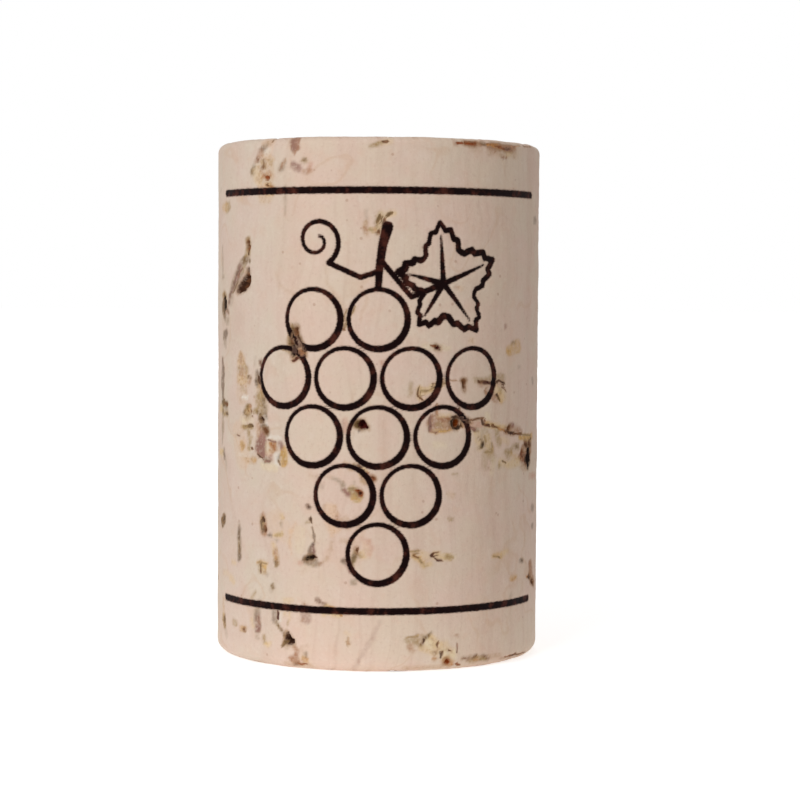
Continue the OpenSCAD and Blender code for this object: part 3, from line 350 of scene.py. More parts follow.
    (11.8, 37.65, 12.5, 37.76, 0.14, 0.1, 0.1, "tan"), (13, 37.78, 14.8, 37.82, 0.06, 0.05, 0.04, "clay"),
    (9.95, 36.85, 10.05, 36.75, 0.14, 0.14, 0.08, "sienna"),
    (10.4, 36.85, 10.45, 36.8, 0.12, 0.1, 0.07, "sienna"),
    (8.8, 37.12, 9.2, 37.1, 0.12, 0.12, 0.05, "clay"),
]

SOFT = [
    # under the upper rim
    (-8.7, 37.8, -8.9, 36.6, 1.2, 1.4, 0.22, "peach"), (-8.9, 36.3, -8.9, 34.1, 1.5, 1.6, 0.3, "sand"),
    (-9.9, 35.6, -9.7, 35, 0.8, 0.8, 0.35, "straw"), (-9.3, 34.4, -8.4, 34.2, 0.6, 0.6, 0.45, "peach"),
    (-8.4, 37.85, -9, 37.5, 0.4, 0.5, 0.4, "tan"), (-8.95, 37.4, -9.3, 37.15, 0.45, 0.5, 0.5, "mist"),
    (-9.3, 37.15, -9.85, 36.4, 0.45, 0.36, 0.45, "clay"), (-9, 37.3, -9.4, 37.2, 0.3, 0.26, 0.25, "slate"),
    (-10.35, 35.8, -10.3, 35.5, 0.36, 0.3, 0.45, "moss"), (-8.7, 34, -8.5, 33.95, 0.3, 0.3, 0.4, "straw"),
    (-9.15, 36.35, -9.05, 36, 0.3, 0.3, 0.45, "moss"), (-8.5, 36.4, -8.4, 36.2, 0.3, 0.3, 0.35, "moss"),
    (-9.2, 35.3, -8.6, 35.3, 0.4, 0.5, 0.4, "amber"), (-8.9, 37, -8.5, 37.1, 0.4, 0.4, 0.4, "chalk"),
    (-8.75, 34.65, -8.3, 34.45, 0.3, 0.34, 0.45, "ochre"),
    (-14.4, 33.2, -13.8, 33.2, 0.7, 0.6, 0.5, "moss"), (-15.3, 33.2, -14.4, 33.2, 0.5, 0.7, 0.3, "ochre"),
    (-11.7, 33.9, -11.7, 33.8, 0.16, 0.16, 0.4, "ochre"), (-16, 34.5, -15.8, 34.5, 0.4, 0.3, 0.2, "mist"),
    (-6.35, 38.4, -6.25, 37.3, 0.8, 0.6, 0.8, "clay"), (-6.25, 37.3, -6.3, 36.8, 0.6, 0.16, 0.6, "clay"),
    (-6.3, 38, -6.25, 37.2, 0.6, 0.4, 0.5, "mauve"), (-6.45, 37.9, -6.4, 37.1, 0.3, 0.26, 0.4, "plum"),
    (-7.1, 36.3, -7.45, 35.75, 0.3, 0.36, 0.5, "mist"), (-7.35, 35.95, -7.45, 35.8, 0.2, 0.2, 0.5, "slate"),
    (-6.4, 36, -5.95, 35.7, 0.4, 0.5, 0.5, "mauve"), (-6.5, 36.05, -6.1, 35.9, 0.16, 0.2, 0.4, "plum"),
    (-5.65, 36.3, -5.35, 36.25, 0.36, 0.36, 0.4, "moss"), (-5, 36, -5.1, 35.6, 0.3, 0.34, 0.45, "rose"),
    (-5.1, 35.6, -5.5, 35.5, 0.34, 0.3, 0.4, "clay"), (-7.1, 34.5, -7.1, 32.5, 0.14, 0.12, 0.4, "mist"),
    (-0.6, 37.3, 0, 37.45, 0.16, 0.2, 0.45, "moss"), (0.2, 37.5, 0.8, 37.65, 0.3, 0.4, 0.35, "straw"),
    (8.6, 37.05, 11.4, 37.1, 0.4, 0.5, 0.4, "tan"), (7, 37.15, 7.8, 37.15, 0.2, 0.2, 0.3, "tan"),
    (5.6, 37.62, 8.4, 37.6, 0.34, 0.34, 0.5, "clay"), (8.6, 37.5, 11.5, 37.5, 0.5, 0.4, 0.6, "clay"),
    (15.3, 32.4, 15.9, 32.4, 0.5, 0.5, 0.45, "slate"), (10.6, 37, 10.8, 37, 0.3, 0.3, 0.4, "straw"),
    # above the mark
    (-0.92, 32.8, -0.9, 31.9, 0.16, 0.2, 0.3, "mist"), (-0.95, 31.9, -0.9, 31.1, 0.28, 0.24, 0.6, "tan"),
    (-0.95, 31.55, -0.88, 31.2, 0.12, 0.12, 0.5, "clay"), (0.7, 32.5, 1.1, 32.6, 0.36, 0.34, 0.5, "straw"),
    (0.25, 32.3, 0.2, 31.6, 0.7, 0.5, 0.4, "straw"), (-0.5, 31.35, 0, 31.3, 0.34, 0.4, 0.5, "straw"),
    (0.12, 32.45, -0.1, 31.9, 0.36, 0.38, 0.4, "moss"), (-0.3, 31.45, -0.3, 31.35, 0.2, 0.2, 0.4, "amber"),
    # the left crack's fibrous band and the smears below it
    (-10.95, 29.9, -11.3, 29.2, 0.4, 0.5, 0.6, "moss"), (-11.3, 29.2, -12, 28.5, 0.6, 0.9, 0.55, "mist"),
    (-12, 28.5, -12.9, 27.5, 0.9, 0.8, 0.6, "mist"), (-12.9, 27.5, -13.8, 26.3, 0.8, 0.5, 0.5, "mist"),
    (-11.75, 28.95, -12.05, 28.75, 0.2, 0.36, 0.6, "plum"),
    (-12.05, 28.5, -12.35, 28.15, 0.34, 0.42, 0.7, "plum"),
    (-12.4, 27.9, -12.85, 27.5, 0.3, 0.44, 0.7, "plum"),
    (-12.15, 28.55, -12.3, 28.3, 0.2, 0.2, 0.5, "drab"),
    (-12.7, 27.65, -12.95, 27.4, 0.2, 0.2, 0.5, "drab"),
    (-13.2, 27.1, -13.55, 26.75, 0.3, 0.36, 0.7, "plum"), (-13.3, 27, -13.5, 26.8, 0.2, 0.2, 0.4, "drab"),
    (-13.6, 26.5, -13.85, 26.2, 0.3, 0.26, 0.6, "plum"), (-11.1, 28.5, -11.2, 28.2, 0.2, 0.2, 0.5, "tan"),
    (-11.35, 28.85, -11.45, 28.5, 0.2, 0.3, 0.35, "moss"),
    (-12.1, 28, -12.5, 27.6, 0.12, 0.12, 0.35, "mist"),
    (-10.8, 30.65, -10.8, 29.7, 0.54, 0.44, 0.6, "moss"), (-13.1, 26.7, -13.4, 26.1, 0.5, 0.4, 0.3, "mist"),
    (-15.05, 26.75, -14.65, 26.6, 0.6, 0.7, 0.6, "moss"), (-15.2, 25.9, -14.8, 25.3, 0.8, 0.7, 0.6, "drab"),
    (-14.4, 25.8, -13.85, 25.4, 0.5, 0.35, 0.5, "mauve"),
    (-14.5, 24.95, -13.8, 24.8, 0.5, 0.4, 0.5, "mist"), (-14.8, 23.7, -14.3, 24, 0.8, 0.6, 0.8, "slate"),
    (-14.8, 23.2, -14.5, 23.1, 0.5, 0.5, 0.5, "mist"), (-15.35, 21.9, -15.2, 21, 0.45, 0.75, 0.8, "slate"),
    (-15.2, 21.1, -15.35, 20.1, 0.65, 0.8, 0.85, "slate"),
    (-15.3, 20.2, -15.15, 19.2, 0.75, 0.5, 0.85, "slate"), (-15.4, 22, -15.3, 21.6, 0.3, 0.3, 0.3, "mauve"),
    (-15.35, 17.9, -15.2, 16.9, 0.35, 0.55, 0.6, "mist"), (-15.2, 17, -15.35, 15.8, 0.5, 0.28, 0.6, "mist"),
    (-15.5, 18.7, -14.8, 18.78, 0.3, 0.55, 0.85, "olive"),
    (-14.8, 18.76, -14.2, 18.66, 0.52, 0.42, 0.85, "olive"),
    (-16.2, 18.3, -15.7, 18.3, 0.5, 0.5, 0.6, "straw"), (-15.3, 18.4, -15.1, 18, 0.5, 0.4, 0.6, "moss"),
    (-14.6, 18.3, -14, 18.3, 0.2, 0.2, 0.5, "mist"), (-15, 18, -14.1, 18, 0.3, 0.3, 0.6, "moss"),
    (-16.1, 15.1, -15.2, 15.1, 0.4, 0.5, 0.6, "straw"), (-14.9, 15.1, -14.7, 14.8, 0.5, 0.5, 0.7, "slate"),
    (-14.4, 14.4, -14.3, 14, 0.4, 0.3, 0.3, "mist"), (-15.4, 30.2, -15.4, 28.2, 0.26, 0.3, 0.5, "mist"),
    (-15.5, 28.1, -15, 28.1, 0.24, 0.24, 0.5, "mist"),
    # the three-cornered pore
    (-6.5, 24.5, -6.62, 22.9, 0.46, 0.54, 0.6, "moss"), (-5.95, 23.7, -5.85, 22.6, 0.6, 0.8, 0.6, "drab"),
    (-6.2, 24.5, -6, 23.9, 0.5, 0.44, 0.5, "drab"), (-6.4, 22.25, -5.5, 22.55, 0.4, 0.5, 0.6, "clay"),
    (-6.9, 23, -6.7, 22.9, 0.2, 0.2, 0.35, "moss"), (-6.15, 24.7, -6.1, 24.6, 0.2, 0.2, 0.3, "tan"),
    # thin contour lines and small spots
    (-7.9, 28.4, -7.5, 27.4, 0.09, 0.09, 0.25, "tan"), (-7.5, 27.4, -6.3, 26.8, 0.09, 0.09, 0.25, "tan"),
    (-6.3, 26.8, -5.6, 26.5, 0.09, 0.09, 0.2, "tan"), (-3.8, 28.7, -3.7, 27.7, 0.08, 0.09, 0.25, "tan"),
    (-3.7, 27.7, -3.2, 26.9, 0.09, 0.09, 0.25, "tan"), (-3.2, 26.9, -2.45, 25.9, 0.09, 0.09, 0.25, "tan"),
    (-1.6, 22.9, -1.4, 22.9, 0.2, 0.2, 0.4, "peach"), (3.4, 23.2, 5.2, 23.05, 0.4, 0.3, 0.35, "cream"),
    (0.35, 22, 0.45, 22, 0.32, 0.32, 0.6, "rose"), (2, 27.2, 2.1, 27.1, 0.2, 0.2, 0.25, "rose"),
    (6, 27.4, 6.2, 27.3, 0.3, 0.2, 0.25, "peach"), (7.1, 23.6, 7.2, 23.5, 0.4, 0.3, 0.3, "sand"),
    (4.3, 24.8, 4.35, 24.8, 0.13, 0.13, 0.4, "mauve"), (10.5, 24.6, 10.5, 24.55, 0.25, 0.22, 0.5, "mauve"),
    (8.9, 21.6, 9, 21.5, 0.3, 0.26, 0.4, "tan"), (12.3, 21.6, 12.5, 21.6, 0.3, 0.26, 0.25, "mist"),
    (11, 22.9, 12.1, 23.1, 0.8, 1, 0.4, "ochre"), (10.8, 22.8, 11, 22.8, 0.3, 0.3, 0.5, "ochre"),
    (-1.7, 25.9, -2.4, 24.6, 0.3, 0.3, 0.25, "sand"), (-7.9, 10.6, -7, 9.8, 1.6, 1.4, 0.12, "straw"),
    # upright strip, granular triangle and disc, streak and the field round them
    (-11.9, 22.5, -11.8, 22.2, 0.36, 0.46, 0.5, "tan"), (-11.8, 22, -11.6, 21, 1, 1.5, 0.55, "sand"),
    (-12.1, 21.3, -11.3, 21.2, 0.5, 0.5, 0.45, "mist"), (-11.3, 21.6, -10.9, 21.35, 0.5, 0.4, 0.3, "moss"),
    (-11.9, 20.6, -11.2, 20.4, 0.5, 0.4, 0.35, "sand"), (-11.6, 20.6, -11.6, 19.5, 1.5, 1.4, 0.2, "sand"),
    (-11.7, 20, -11.2, 19.8, 0.3, 0.3, 0.3, "moss"), (-11.6, 19.35, -10.9, 19.35, 0.16, 0.2, 0.8, "chalk"),
    (-10, 22.3, -10, 21.6, 0.12, 0.1, 0.3, "mist"), (-10.6, 20.8, -10.65, 20.4, 0.3, 0.3, 0.5, "tan"),
    (-9.7, 21.1, -9.55, 20.4, 0.45, 0.55, 0.7, "slate"), (-9.35, 20.2, -9.3, 19.9, 0.6, 0.7, 0.5, "straw"),
    (-9.3, 19.7, -9.2, 18.5, 0.9, 1, 0.4, "moss"), (-9.35, 19.6, -9.25, 18.9, 0.5, 0.6, 0.5, "moss"),
    (-9.8, 19.4, -9.65, 18.7, 0.4, 0.4, 0.4, "moss"), (-9.1, 19.2, -8.95, 18.5, 0.3, 0.3, 0.5, "mist"),
    (-10.1, 18.4, -9.3, 18.3, 0.3, 0.34, 0.6, "moss"), (-9.3, 17.9, -9.2, 17.8, 0.6, 0.6, 0.5, "drab"),
    (-8.95, 17.85, -8.85, 17.5, 0.4, 0.34, 0.6, "chalk"), (-9.6, 17.3, -9.5, 16.8, 0.5, 0.5, 0.4, "tan"),
    (-9, 17.3, -8.75, 16.95, 0.56, 0.6, 0.7, "drab"), (-9.5, 16.9, -9.6, 16.2, 0.4, 0.3, 0.35, "clay"),
    (-9.12, 16.7, -9.28, 15.65, 0.5, 1.25, 0.85, "mauve"), (-9.4, 15.9, -9.1, 15.5, 0.8, 0.9, 0.35, "plum"),
    (-10.85, 18.5, -10.8, 18.2, 0.8, 0.8, 0.5, "moss"), (-11.1, 18.3, -10.8, 18.5, 0.4, 0.4, 0.45, "ochre"),
    (-11.1, 17.9, -10.8, 17.8, 0.4, 0.4, 0.3, "moss"), (-11.6, 17.7, -11.4, 17.6, 0.5, 0.5, 0.3, "cream"),
    (-11.4, 17.6, -10.2, 17.7, 0.3, 0.3, 0.3, "cream"),
    (-11.6, 17.15, -10.3, 17.2, 0.26, 0.36, 0.7, "moss"),
    (-11.6, 15.85, -11.5, 15.7, 0.5, 0.5, 0.95, "ochre"),
    (-11.55, 15.85, -11.48, 15.75, 0.4, 0.4, 0.5, "moss"),
    (-10.7, 16.9, -10.6, 16.1, 0.3, 0.36, 0.5, "moss"), (-10.8, 15.8, -10.6, 15.7, 0.34, 0.3, 0.5, "moss"),
    (-10.3, 14.85, -10, 14.8, 0.5, 0.5, 0.5, "tan"), (-10.2, 14.85, -10, 14.8, 0.3, 0.3, 0.4, "ochre"),
    (-11.3, 14.9, -10.6, 14.7, 0.4, 0.4, 0.4, "sand"), (-12, 15.15, -11, 15.15, 0.14, 0.14, 0.5, "chalk"),
    (-12.2, 16.8, -11.5, 15, 1.6, 1.8, 0.2, "peach"), (-12.4, 16.5, -11.9, 16.48, 0.2, 0.24, 0.35, "mist"),
    (-8.15, 16.15, -8.1, 15.75, 0.6, 0.56, 0.95, "amber"),
    (-8.15, 16.05, -8, 15.8, 0.34, 0.34, 0.5, "sienna"), (-8.3, 15.6, -8.1, 15.5, 0.4, 0.4, 0.5, "tan"),
    (-7.15, 15.65, -7.15, 14.8, 0.55, 0.6, 0.95, "ochre"), (-7.15, 15.5, -7.1, 14.9, 0.4, 0.4, 0.3, "moss"),
    (-7.8, 15.3, -7.75, 14.8, 0.5, 0.5, 0.6, "chalk"), (-8.4, 16.55, -7.6, 16.5, 0.3, 0.3, 0.5, "chalk"),
    (-7.5, 16.2, -7.4, 15.9, 0.34, 0.3, 0.5, "mauve"), (-9.1, 14.5, -7.9, 14.35, 0.4, 0.4, 0.4, "cream"),
    (-8.6, 15.3, -8.3, 15.1, 0.44, 0.4, 0.5, "rose"), (-8.9, 14.9, -8.45, 14.9, 0.3, 0.3, 0.5, "slate"),
    (-8.75, 16, -8.6, 15.4, 0.3, 0.3, 0.4, "cream"),
    # round the pit under the middle
    (-2.35, 17.9, -2.2, 17.3, 0.4, 0.5, 0.4, "rose"), (-2.5, 17.9, -2.5, 17.1, 0.1, 0.1, 0.35, "mauve"),
    (-1.6, 17.8, -1.4, 17.7, 0.6, 0.6, 0.5, "moss"),
    # right of the middle
    (2.35, 20.5, 2.3, 19.8, 0.26, 0.22, 0.4, "moss"), (3, 20, 4, 20.2, 0.4, 0.5, 0.6, "straw"),
    (4, 20.3, 4.7, 20.6, 0.6, 0.6, 0.6, "straw"), (2.95, 20.2, 3, 19.6, 0.34, 0.34, 0.6, "straw"),
    (3.1, 19.4, 3.6, 19.4, 0.3, 0.3, 0.4, "peach"), (7.4, 20.8, 9, 20.75, 0.26, 0.3, 0.45, "moss"),
    (9, 21, 10.3, 20.9, 0.3, 0.4, 0.45, "moss"), (9.5, 20.1, 10.2, 19.6, 0.8, 0.8, 0.5, "straw"),
    (9.9, 19.6, 10.1, 19.2, 0.5, 0.4, 0.4, "ochre"), (8.5, 19.9, 9.5, 19.35, 0.34, 0.5, 0.6, "clay"),
    (8, 20.5, 10.2, 20.5, 0.4, 0.4, 0.4, "clay"), (4, 17.8, 5, 17.75, 0.9, 0.9, 0.6, "clay"),
    (4.35, 17.7, 4.65, 17.55, 0.4, 0.4, 0.4, "moss"), (3.85, 18.2, 3.85, 17.3, 0.3, 0.3, 0.4, "mauve"),
    (4.3, 18.9, 4.3, 18.4, 0.3, 0.4, 0.5, "clay"), (5, 17.8, 5.3, 17.6, 0.5, 0.6, 0.5, "tan"),
    (4, 17.14, 5, 17.2, 0.2, 0.24, 0.5, "ochre"), (5.1, 17.2, 5.4, 17.3, 0.24, 0.3, 0.5, "peach"),
    (4.4, 18.28, 5.4, 18.28, 0.2, 0.2, 0.5, "straw"), (6.35, 17.6, 6.45, 17.56, 0.2, 0.2, 0.8, "ochre"),
    (5.55, 17.8, 6.2, 17.75, 0.7, 0.6, 0.45, "brown"), (6.7, 17.6, 8.4, 17.6, 0.6, 0.4, 0.5, "rose"),
    (8.6, 17.6, 10.6, 17.1, 0.34, 0.3, 0.6, "ochre"), (9.4, 17.5, 10.6, 17.2, 0.3, 0.3, 0.4, "straw"),
    (11.05, 17.15, 11.4, 17.35, 0.4, 0.34, 0.7, "clay"), (11.2, 17.3, 11.6, 17.4, 0.34, 0.3, 0.5, "mauve"),
    (10.6, 17, 12.8, 16.8, 0.5, 0.4, 0.6, "clay"), (11.6, 17.3, 12.6, 17.1, 0.3, 0.2, 0.3, "clay"),
    (12.6, 16.42, 14.9, 16.32, 0.3, 0.5, 0.75, "ochre"), (12.9, 14.3, 13.8, 14.1, 0.4, 0.4, 0.5, "tan"),
    (13.2, 15.4, 14.5, 15.4, 0.9, 1, 0.7, "clay"), (12.9, 15, 13.8, 14.7, 0.7, 0.8, 0.8, "sienna"),
    (14.6, 13.5, 15.2, 13.4, 0.4, 0.4, 0.3, "rose"), (15.3, 13.4, 16.2, 13.4, 0.4, 0.5, 0.5, "rose"),
    (15.3, 11.1, 15.9, 11, 0.5, 0.5, 0.45, "slate"), (15.2, 9.7, 15.9, 9.65, 0.35, 0.35, 0.5, "slate"),
    (13.5, 15.95, 14.6, 15.9, 0.4, 0.5, 0.5, "brown"), (7.6, 17, 7.9, 16, 0.5, 0.6, 0.5, "straw"),
    (8.3, 17, 8.8, 15.8, 0.7, 0.9, 0.3, "moss"), (8.6, 16.6, 8.9, 15.6, 0.6, 0.7, 0.45, "straw"),
    (9, 15.6, 9.2, 14.9, 0.6, 0.5, 0.35, "moss"), (8.4, 15.4, 8.3, 14.5, 0.5, 0.5, 0.3, "moss"),
    (9.3, 14.9, 9.1, 14.1, 0.5, 0.5, 0.3, "cream"), (9.6, 17, 9.9, 16.2, 0.5, 0.6, 0.5, "moss"),
    (10.7, 15.45, 11.3, 15.45, 0.4, 0.4, 0.6, "moss"), (10.2, 16.4, 10.9, 16.2, 0.4, 0.4, 0.3, "straw"),
    (11.6, 15.8, 12.3, 15.75, 0.4, 0.5, 0.4, "moss"), (10, 14.8, 10.8, 14.6, 0.4, 0.4, 0.5, "straw"),
    (11.2, 14.6, 12.4, 14.6, 0.5, 0.5, 0.5, "straw"), (11.4, 15.3, 12.4, 14.9, 0.4, 0.4, 0.3, "ochre"),
    (8.55, 18.3, 8.7, 18, 0.3, 0.3, 0.4, "cream"), (4.2, 16.25, 4.8, 16.2, 0.4, 0.4, 0.3, "cream"),
    (5.3, 12.6, 5.5, 12.6, 0.4, 0.4, 0.25, "sand"), (1.3, 10.8, 1.3, 10.7, 0.22, 0.22, 0.3, "ochre"),
    (15.1, 20.6, 15.2, 20.4, 0.4, 0.4, 0.4, "slate"),
    # crusted pores below the middle
    (-2.35, 14.88, -1.9, 14.65, 0.2, 0.34, 0.6, "tan"), (-1, 14.3, -0.9, 13.8, 0.6, 0.5, 0.7, "straw"),
    (-1.6, 14.7, -1.2, 14.5, 0.3, 0.3, 0.5, "straw"), (-1, 13.65, -0.7, 13.6, 0.4, 0.4, 0.7, "tan"),
    (-0.45, 14.1, -0.35, 14.05, 0.24, 0.24, 0.5, "rose"),
    (-0.4, 13.85, -0.3, 13.8, 0.44, 0.44, 0.5, "clay"), (-1.6, 13.6, -1.5, 12.9, 0.1, 0.1, 0.3, "mist"),
    (-1.75, 13, -1.45, 12.5, 0.6, 0.65, 0.95, "straw"), (-1.75, 12.9, -1.5, 12.5, 0.5, 0.5, 0.6, "moss"),
    (-1.7, 12.45, -1.35, 12.4, 0.26, 0.26, 0.6, "ochre"),
    (-2.5, 13.4, -2.45, 13.05, 0.24, 0.26, 0.8, "mist"), (-2.4, 13, -2.15, 12.75, 0.24, 0.2, 0.8, "mauve"),
    (-2.15, 12.7, -2, 12.68, 0.16, 0.12, 0.5, "mauve"), (-5, 14, -3.2, 13.9, 0.08, 0.09, 0.3, "tan"),
    (-3.2, 13.88, -2.55, 13.6, 0.1, 0.18, 0.6, "mist"), (-4.1, 13.3, -4, 13.2, 0.2, 0.2, 0.35, "mist"),
    (-3.4, 11.6, -3.1, 10.5, 0.9, 1.1, 0.4, "peach"), (-2.3, 10.8, -2.1, 10.5, 0.6, 0.6, 0.4, "tan"),
    (-3.85, 11.8, -3.85, 11.2, 0.12, 0.12, 0.35, "clay"), (-3, 11.6, -2.7, 11, 0.1, 0.08, 0.25, "clay"),
    (-3.2, 10.6, -3.2, 9.8, 0.4, 0.3, 0.3, "peach"), (-7.3, 10.85, -7.2, 10.85, 0.24, 0.24, 0.5, "straw"),
    (-7.35, 10.4, -7.35, 10.3, 0.2, 0.18, 0.5, "mist"), (-2.6, 9.4, -1.7, 9.4, 0.2, 0.3, 0.3, "tan"),
    # round the black slit and the broken strokes
    (-4.8, 8.75, -4.78, 8.45, 0.3, 0.5, 0.75, "slate"), (-4.65, 8.9, -4.6, 8.45, 0.2, 0.26, 0.5, "plum"),
    (-5.3, 7.8, -4.3, 7.75, 0.36, 0.36, 0.6, "mist"), (-5, 7.75, -4.5, 7.65, 0.3, 0.3, 0.4, "slate"),
    (-5.75, 7.7, -5.65, 7.65, 0.3, 0.3, 0.4, "rose"), (-5.3, 8.02, -4.5, 8.12, 0.36, 0.3, 0.5, "drab"),
    (-3.3, 9.3, -3.35, 8.8, 0.16, 0.16, 0.3, "tan"), (-2.35, 8, -2.1, 8, 0.4, 0.4, 0.7, "slate"),
    (-1.95, 7.7, -1.9, 7.3, 0.4, 0.3, 0.7, "mauve"), (-1.9, 7.3, -1.8, 7.1, 0.2, 0.1, 0.4, "mauve"),
    (-2, 9.3, -1.8, 8.9, 0.4, 0.3, 0.3, "tan"), (-1.1, 8.5, -1, 8.3, 0.4, 0.4, 0.5, "straw"),
    (-0.8, 9.2, -0.6, 8.6, 0.5, 0.5, 0.3, "peach"), (-1.6, 8.6, -1.8, 7.8, 0.34, 0.4, 0.6, "moss"),
    (-1.45, 8.9, -1.45, 8.6, 0.34, 0.34, 0.5, "clay"), (-1.75, 6.5, -1.6, 6.5, 0.36, 0.36, 0.6, "mist"),
    (-6.1, 10.5, -6.45, 9.95, 0.14, 0.2, 0.3, "peach"), (-6.45, 9.95, -6.58, 9.1, 0.2, 0.2, 0.35, "peach"),
    (-6.58, 9.1, -6.4, 8.3, 0.2, 0.14, 0.3, "peach"), (-5.8, 10, -5.75, 8.8, 0.8, 0.8, 0.2, "cream"),
    (-3.36, 8.8, -3.6, 8.1, 0.14, 0.16, 0.3, "tan"), (-3.6, 8.1, -4.2, 7.6, 0.16, 0.14, 0.3, "tan"),
    (-1.2, 9.65, -0.65, 9.4, 0.14, 0.2, 0.3, "rose"), (-0.65, 9.4, -0.38, 8.95, 0.2, 0.24, 0.35, "rose"),
    (-0.38, 8.95, -0.6, 8.45, 0.24, 0.18, 0.35, "rose"), (-1.6, 11.1, -1.3, 10.6, 0.12, 0.14, 0.3, "tan"),
    (-1.3, 10.6, -1.55, 9.95, 0.14, 0.12, 0.3, "tan"),
    # lower left
    (-15.3, 9.9, -14.8, 10.15, 0.8, 0.75, 0.85, "olive"),
    (-11.92, 9.7, -11.92, 7.5, 0.4, 0.42, 0.75, "slate"), (-11.92, 9.4, -11.92, 7.7, 0.3, 0.3, 0.3, "moss"),
    (-11.95, 10, -11.95, 9.7, 0.3, 0.3, 0.3, "mist"), (-13, 7.15, -12.5, 7.15, 0.22, 0.24, 0.45, "straw"),
    (-13.3, 5.9, -12.9, 5.7, 0.5, 0.5, 0.4, "straw"), (-14.8, 6.1, -13.6, 6.2, 0.3, 0.3, 0.2, "straw"),
    (-9.05, 10.8, -9, 9.75, 0.45, 0.66, 0.7, "clay"), (-9.2, 10.7, -9.2, 9.9, 0.3, 0.3, 0.45, "moss"),
    (-7.95, 9.5, -7.3, 9.7, 0.22, 0.26, 0.75, "straw"), (-7.8, 9.55, -7.35, 9.68, 0.12, 0.16, 0.5, "moss"),
    (-7.8, 9.15, -7.75, 9.15, 0.2, 0.2, 0.5, "mist"), (-8.1, 8.85, -7.95, 8.3, 0.3, 0.4, 0.6, "straw"),
    (-7.9, 8.45, -7.75, 8.1, 0.4, 0.36, 0.6, "tan"), (-7.8, 7.8, -7.75, 7.5, 0.4, 0.34, 0.65, "moss"),
    (-7.8, 8.2, -7.75, 7.6, 0.26, 0.26, 0.35, "amber"), (-9.6, 7.42, -8.8, 7.42, 0.2, 0.2, 0.5, "ochre"),
    (-8.95, 7.3, -8.9, 6.9, 0.46, 0.46, 0.6, "straw"), (-8.95, 7.2, -8.9, 6.95, 0.34, 0.34, 0.5, "ochre"),
    (-9.35, 7.3, -9.28, 6.8, 0.34, 0.34, 0.45, "moss"), (-8.8, 6.8, -8.7, 6.65, 0.35, 0.3, 0.45, "mist"),
    (-8.3, 5.5, -8.3, 5.45, 0.2, 0.2, 0.35, "mist"), (-8.12, 5.85, -8.06, 5.72, 0.26, 0.26, 0.35, "moss"),
    (-9.9, 5.25, -10.3, 4.65, 0.2, 0.24, 0.5, "moss"), (-9.5, 4.5, -9.5, 4.3, 0.4, 0.46, 0.7, "slate"),
    (-9.68, 3.8, -9.65, 2.6, 0.76, 0.8, 0.5, "mist"), (-9.6, 3.4, -9.58, 2.6, 0.56, 0.6, 0.45, "mauve"),
    (-9.78, 3.75, -9.75, 3.45, 0.4, 0.4, 0.35, "slate"), (-10.3, 3.2, -10.2, 2.7, 0.3, 0.3, 0.35, "straw"),
    (-8.95, 2.1, -8.9, 1.65, 0.22, 0.22, 0.5, "moss"), (-8.85, 1.6, -8.4, 1.6, 0.22, 0.2, 0.75, "straw"),
    (-11.75, 2.4, -11.1, 2.45, 0.34, 0.4, 0.7, "tan"), (-11.6, 2.4, -11.1, 2.35, 0.26, 0.3, 0.4, "ochre"),
    (-12.9, 2.7, -12.4, 2.65, 0.36, 0.36, 0.5, "moss"), (-14.9, 2.7, -14.6, 2.4, 0.7, 0.7, 0.75, "moss"),
    (-15.1, 3.7, -14.9, 3, 0.5, 0.5, 0.35, "sand"), (-15.2, 4.2, -14.6, 4.2, 0.2, 0.2, 0.35, "sand"),
    (-14.4, 4.1, -14, 4.15, 0.12, 0.1, 0.35, "mist"), (-14.4, 2, -14.2, 1.5, 0.5, 0.4, 0.25, "mist"),
    (-9.3, 4.9, -9.3, 4.9, 0.2, 0.2, 0.2, "mist"),
    # lower rim, left
    (-7.1, 5, -6.3, 4.95, 0.16, 0.16, 0.4, "straw"), (-7, 4.8, -7, 3.9, 0.14, 0.1, 0.4, "straw"),
    (-6.6, 4.7, -6.6, 3.5, 0.16, 0.12, 0.35, "straw"), (-5.3, 4.4, -5.2, 3.75, 0.7, 0.8, 0.42, "mauve"),
    (-3.6, 4.5, -2.7, 4.2, 0.6, 0.4, 0.8, "straw"), (-3.8, 4.3, -3.8, 4.05, 0.3, 0.2, 0.5, "straw"),
    (-2.25, 4.3, -2.2, 4.25, 0.2, 0.2, 0.5, "tan"), (-2.2, 2.8, -2.05, 2.75, 0.24, 0.2, 0.3, "straw"),
    (-2.1, 2.3, -2, 2.05, 0.2, 0.2, 0.35, "straw"), (0.2, 3.7, -0.3, 2.5, 0.2, 0.26, 0.16, "mauve"),
    (-0.3, 2.5, -1.3, 0.9, 0.26, 0.2, 0.18, "mauve"), (-1.3, 0.9, -1.6, 0.1, 0.18, 0.16, 0.2, "mauve"),
    (-7.95, 4, -7.9, 3.4, 0.4, 0.46, 0.5, "slate"), (-7.4, 3.8, -7.4, 3.5, 0.3, 0.3, 0.4, "chalk"),
    (-7.7, 3.2, -7.5, 3, 0.3, 0.26, 0.4, "moss"), (-5.95, 1.3, -6.05, 0.8, 0.3, 0.36, 0.6, "clay"),
    (-6.4, 0.7, -6, 0.6, 0.4, 0.45, 0.7, "clay"), (-6, 0.4, -5.2, 0.4, 0.26, 0.26, 0.45, "clay"),
    (-5.4, 0.85, -5.2, 0.7, 0.36, 0.34, 0.5, "ochre"), (-6.1, 1.6, -5.95, 1.5, 0.34, 0.3, 0.45, "tan"),
    (-5.55, 1.7, -5.5, 0.8, 0.1, 0.1, 0.35, "tan"), (-5.05, 1.85, -5.4, 1.75, 0.1, 0.1, 0.3, "tan"),
    # The tan strip along the lower rim from s -7 to -4.9 is painted shadow where the wall rounds under.
    (-7, 0.3, -4.9, 0.25, 0.25, 0.25, 0.4, "tan"), (-6.9, 2.6, -6.9, 1.6, 0.4, 0.5, 0.3, "moss"),
    # crumbly patch on the lower rim, right
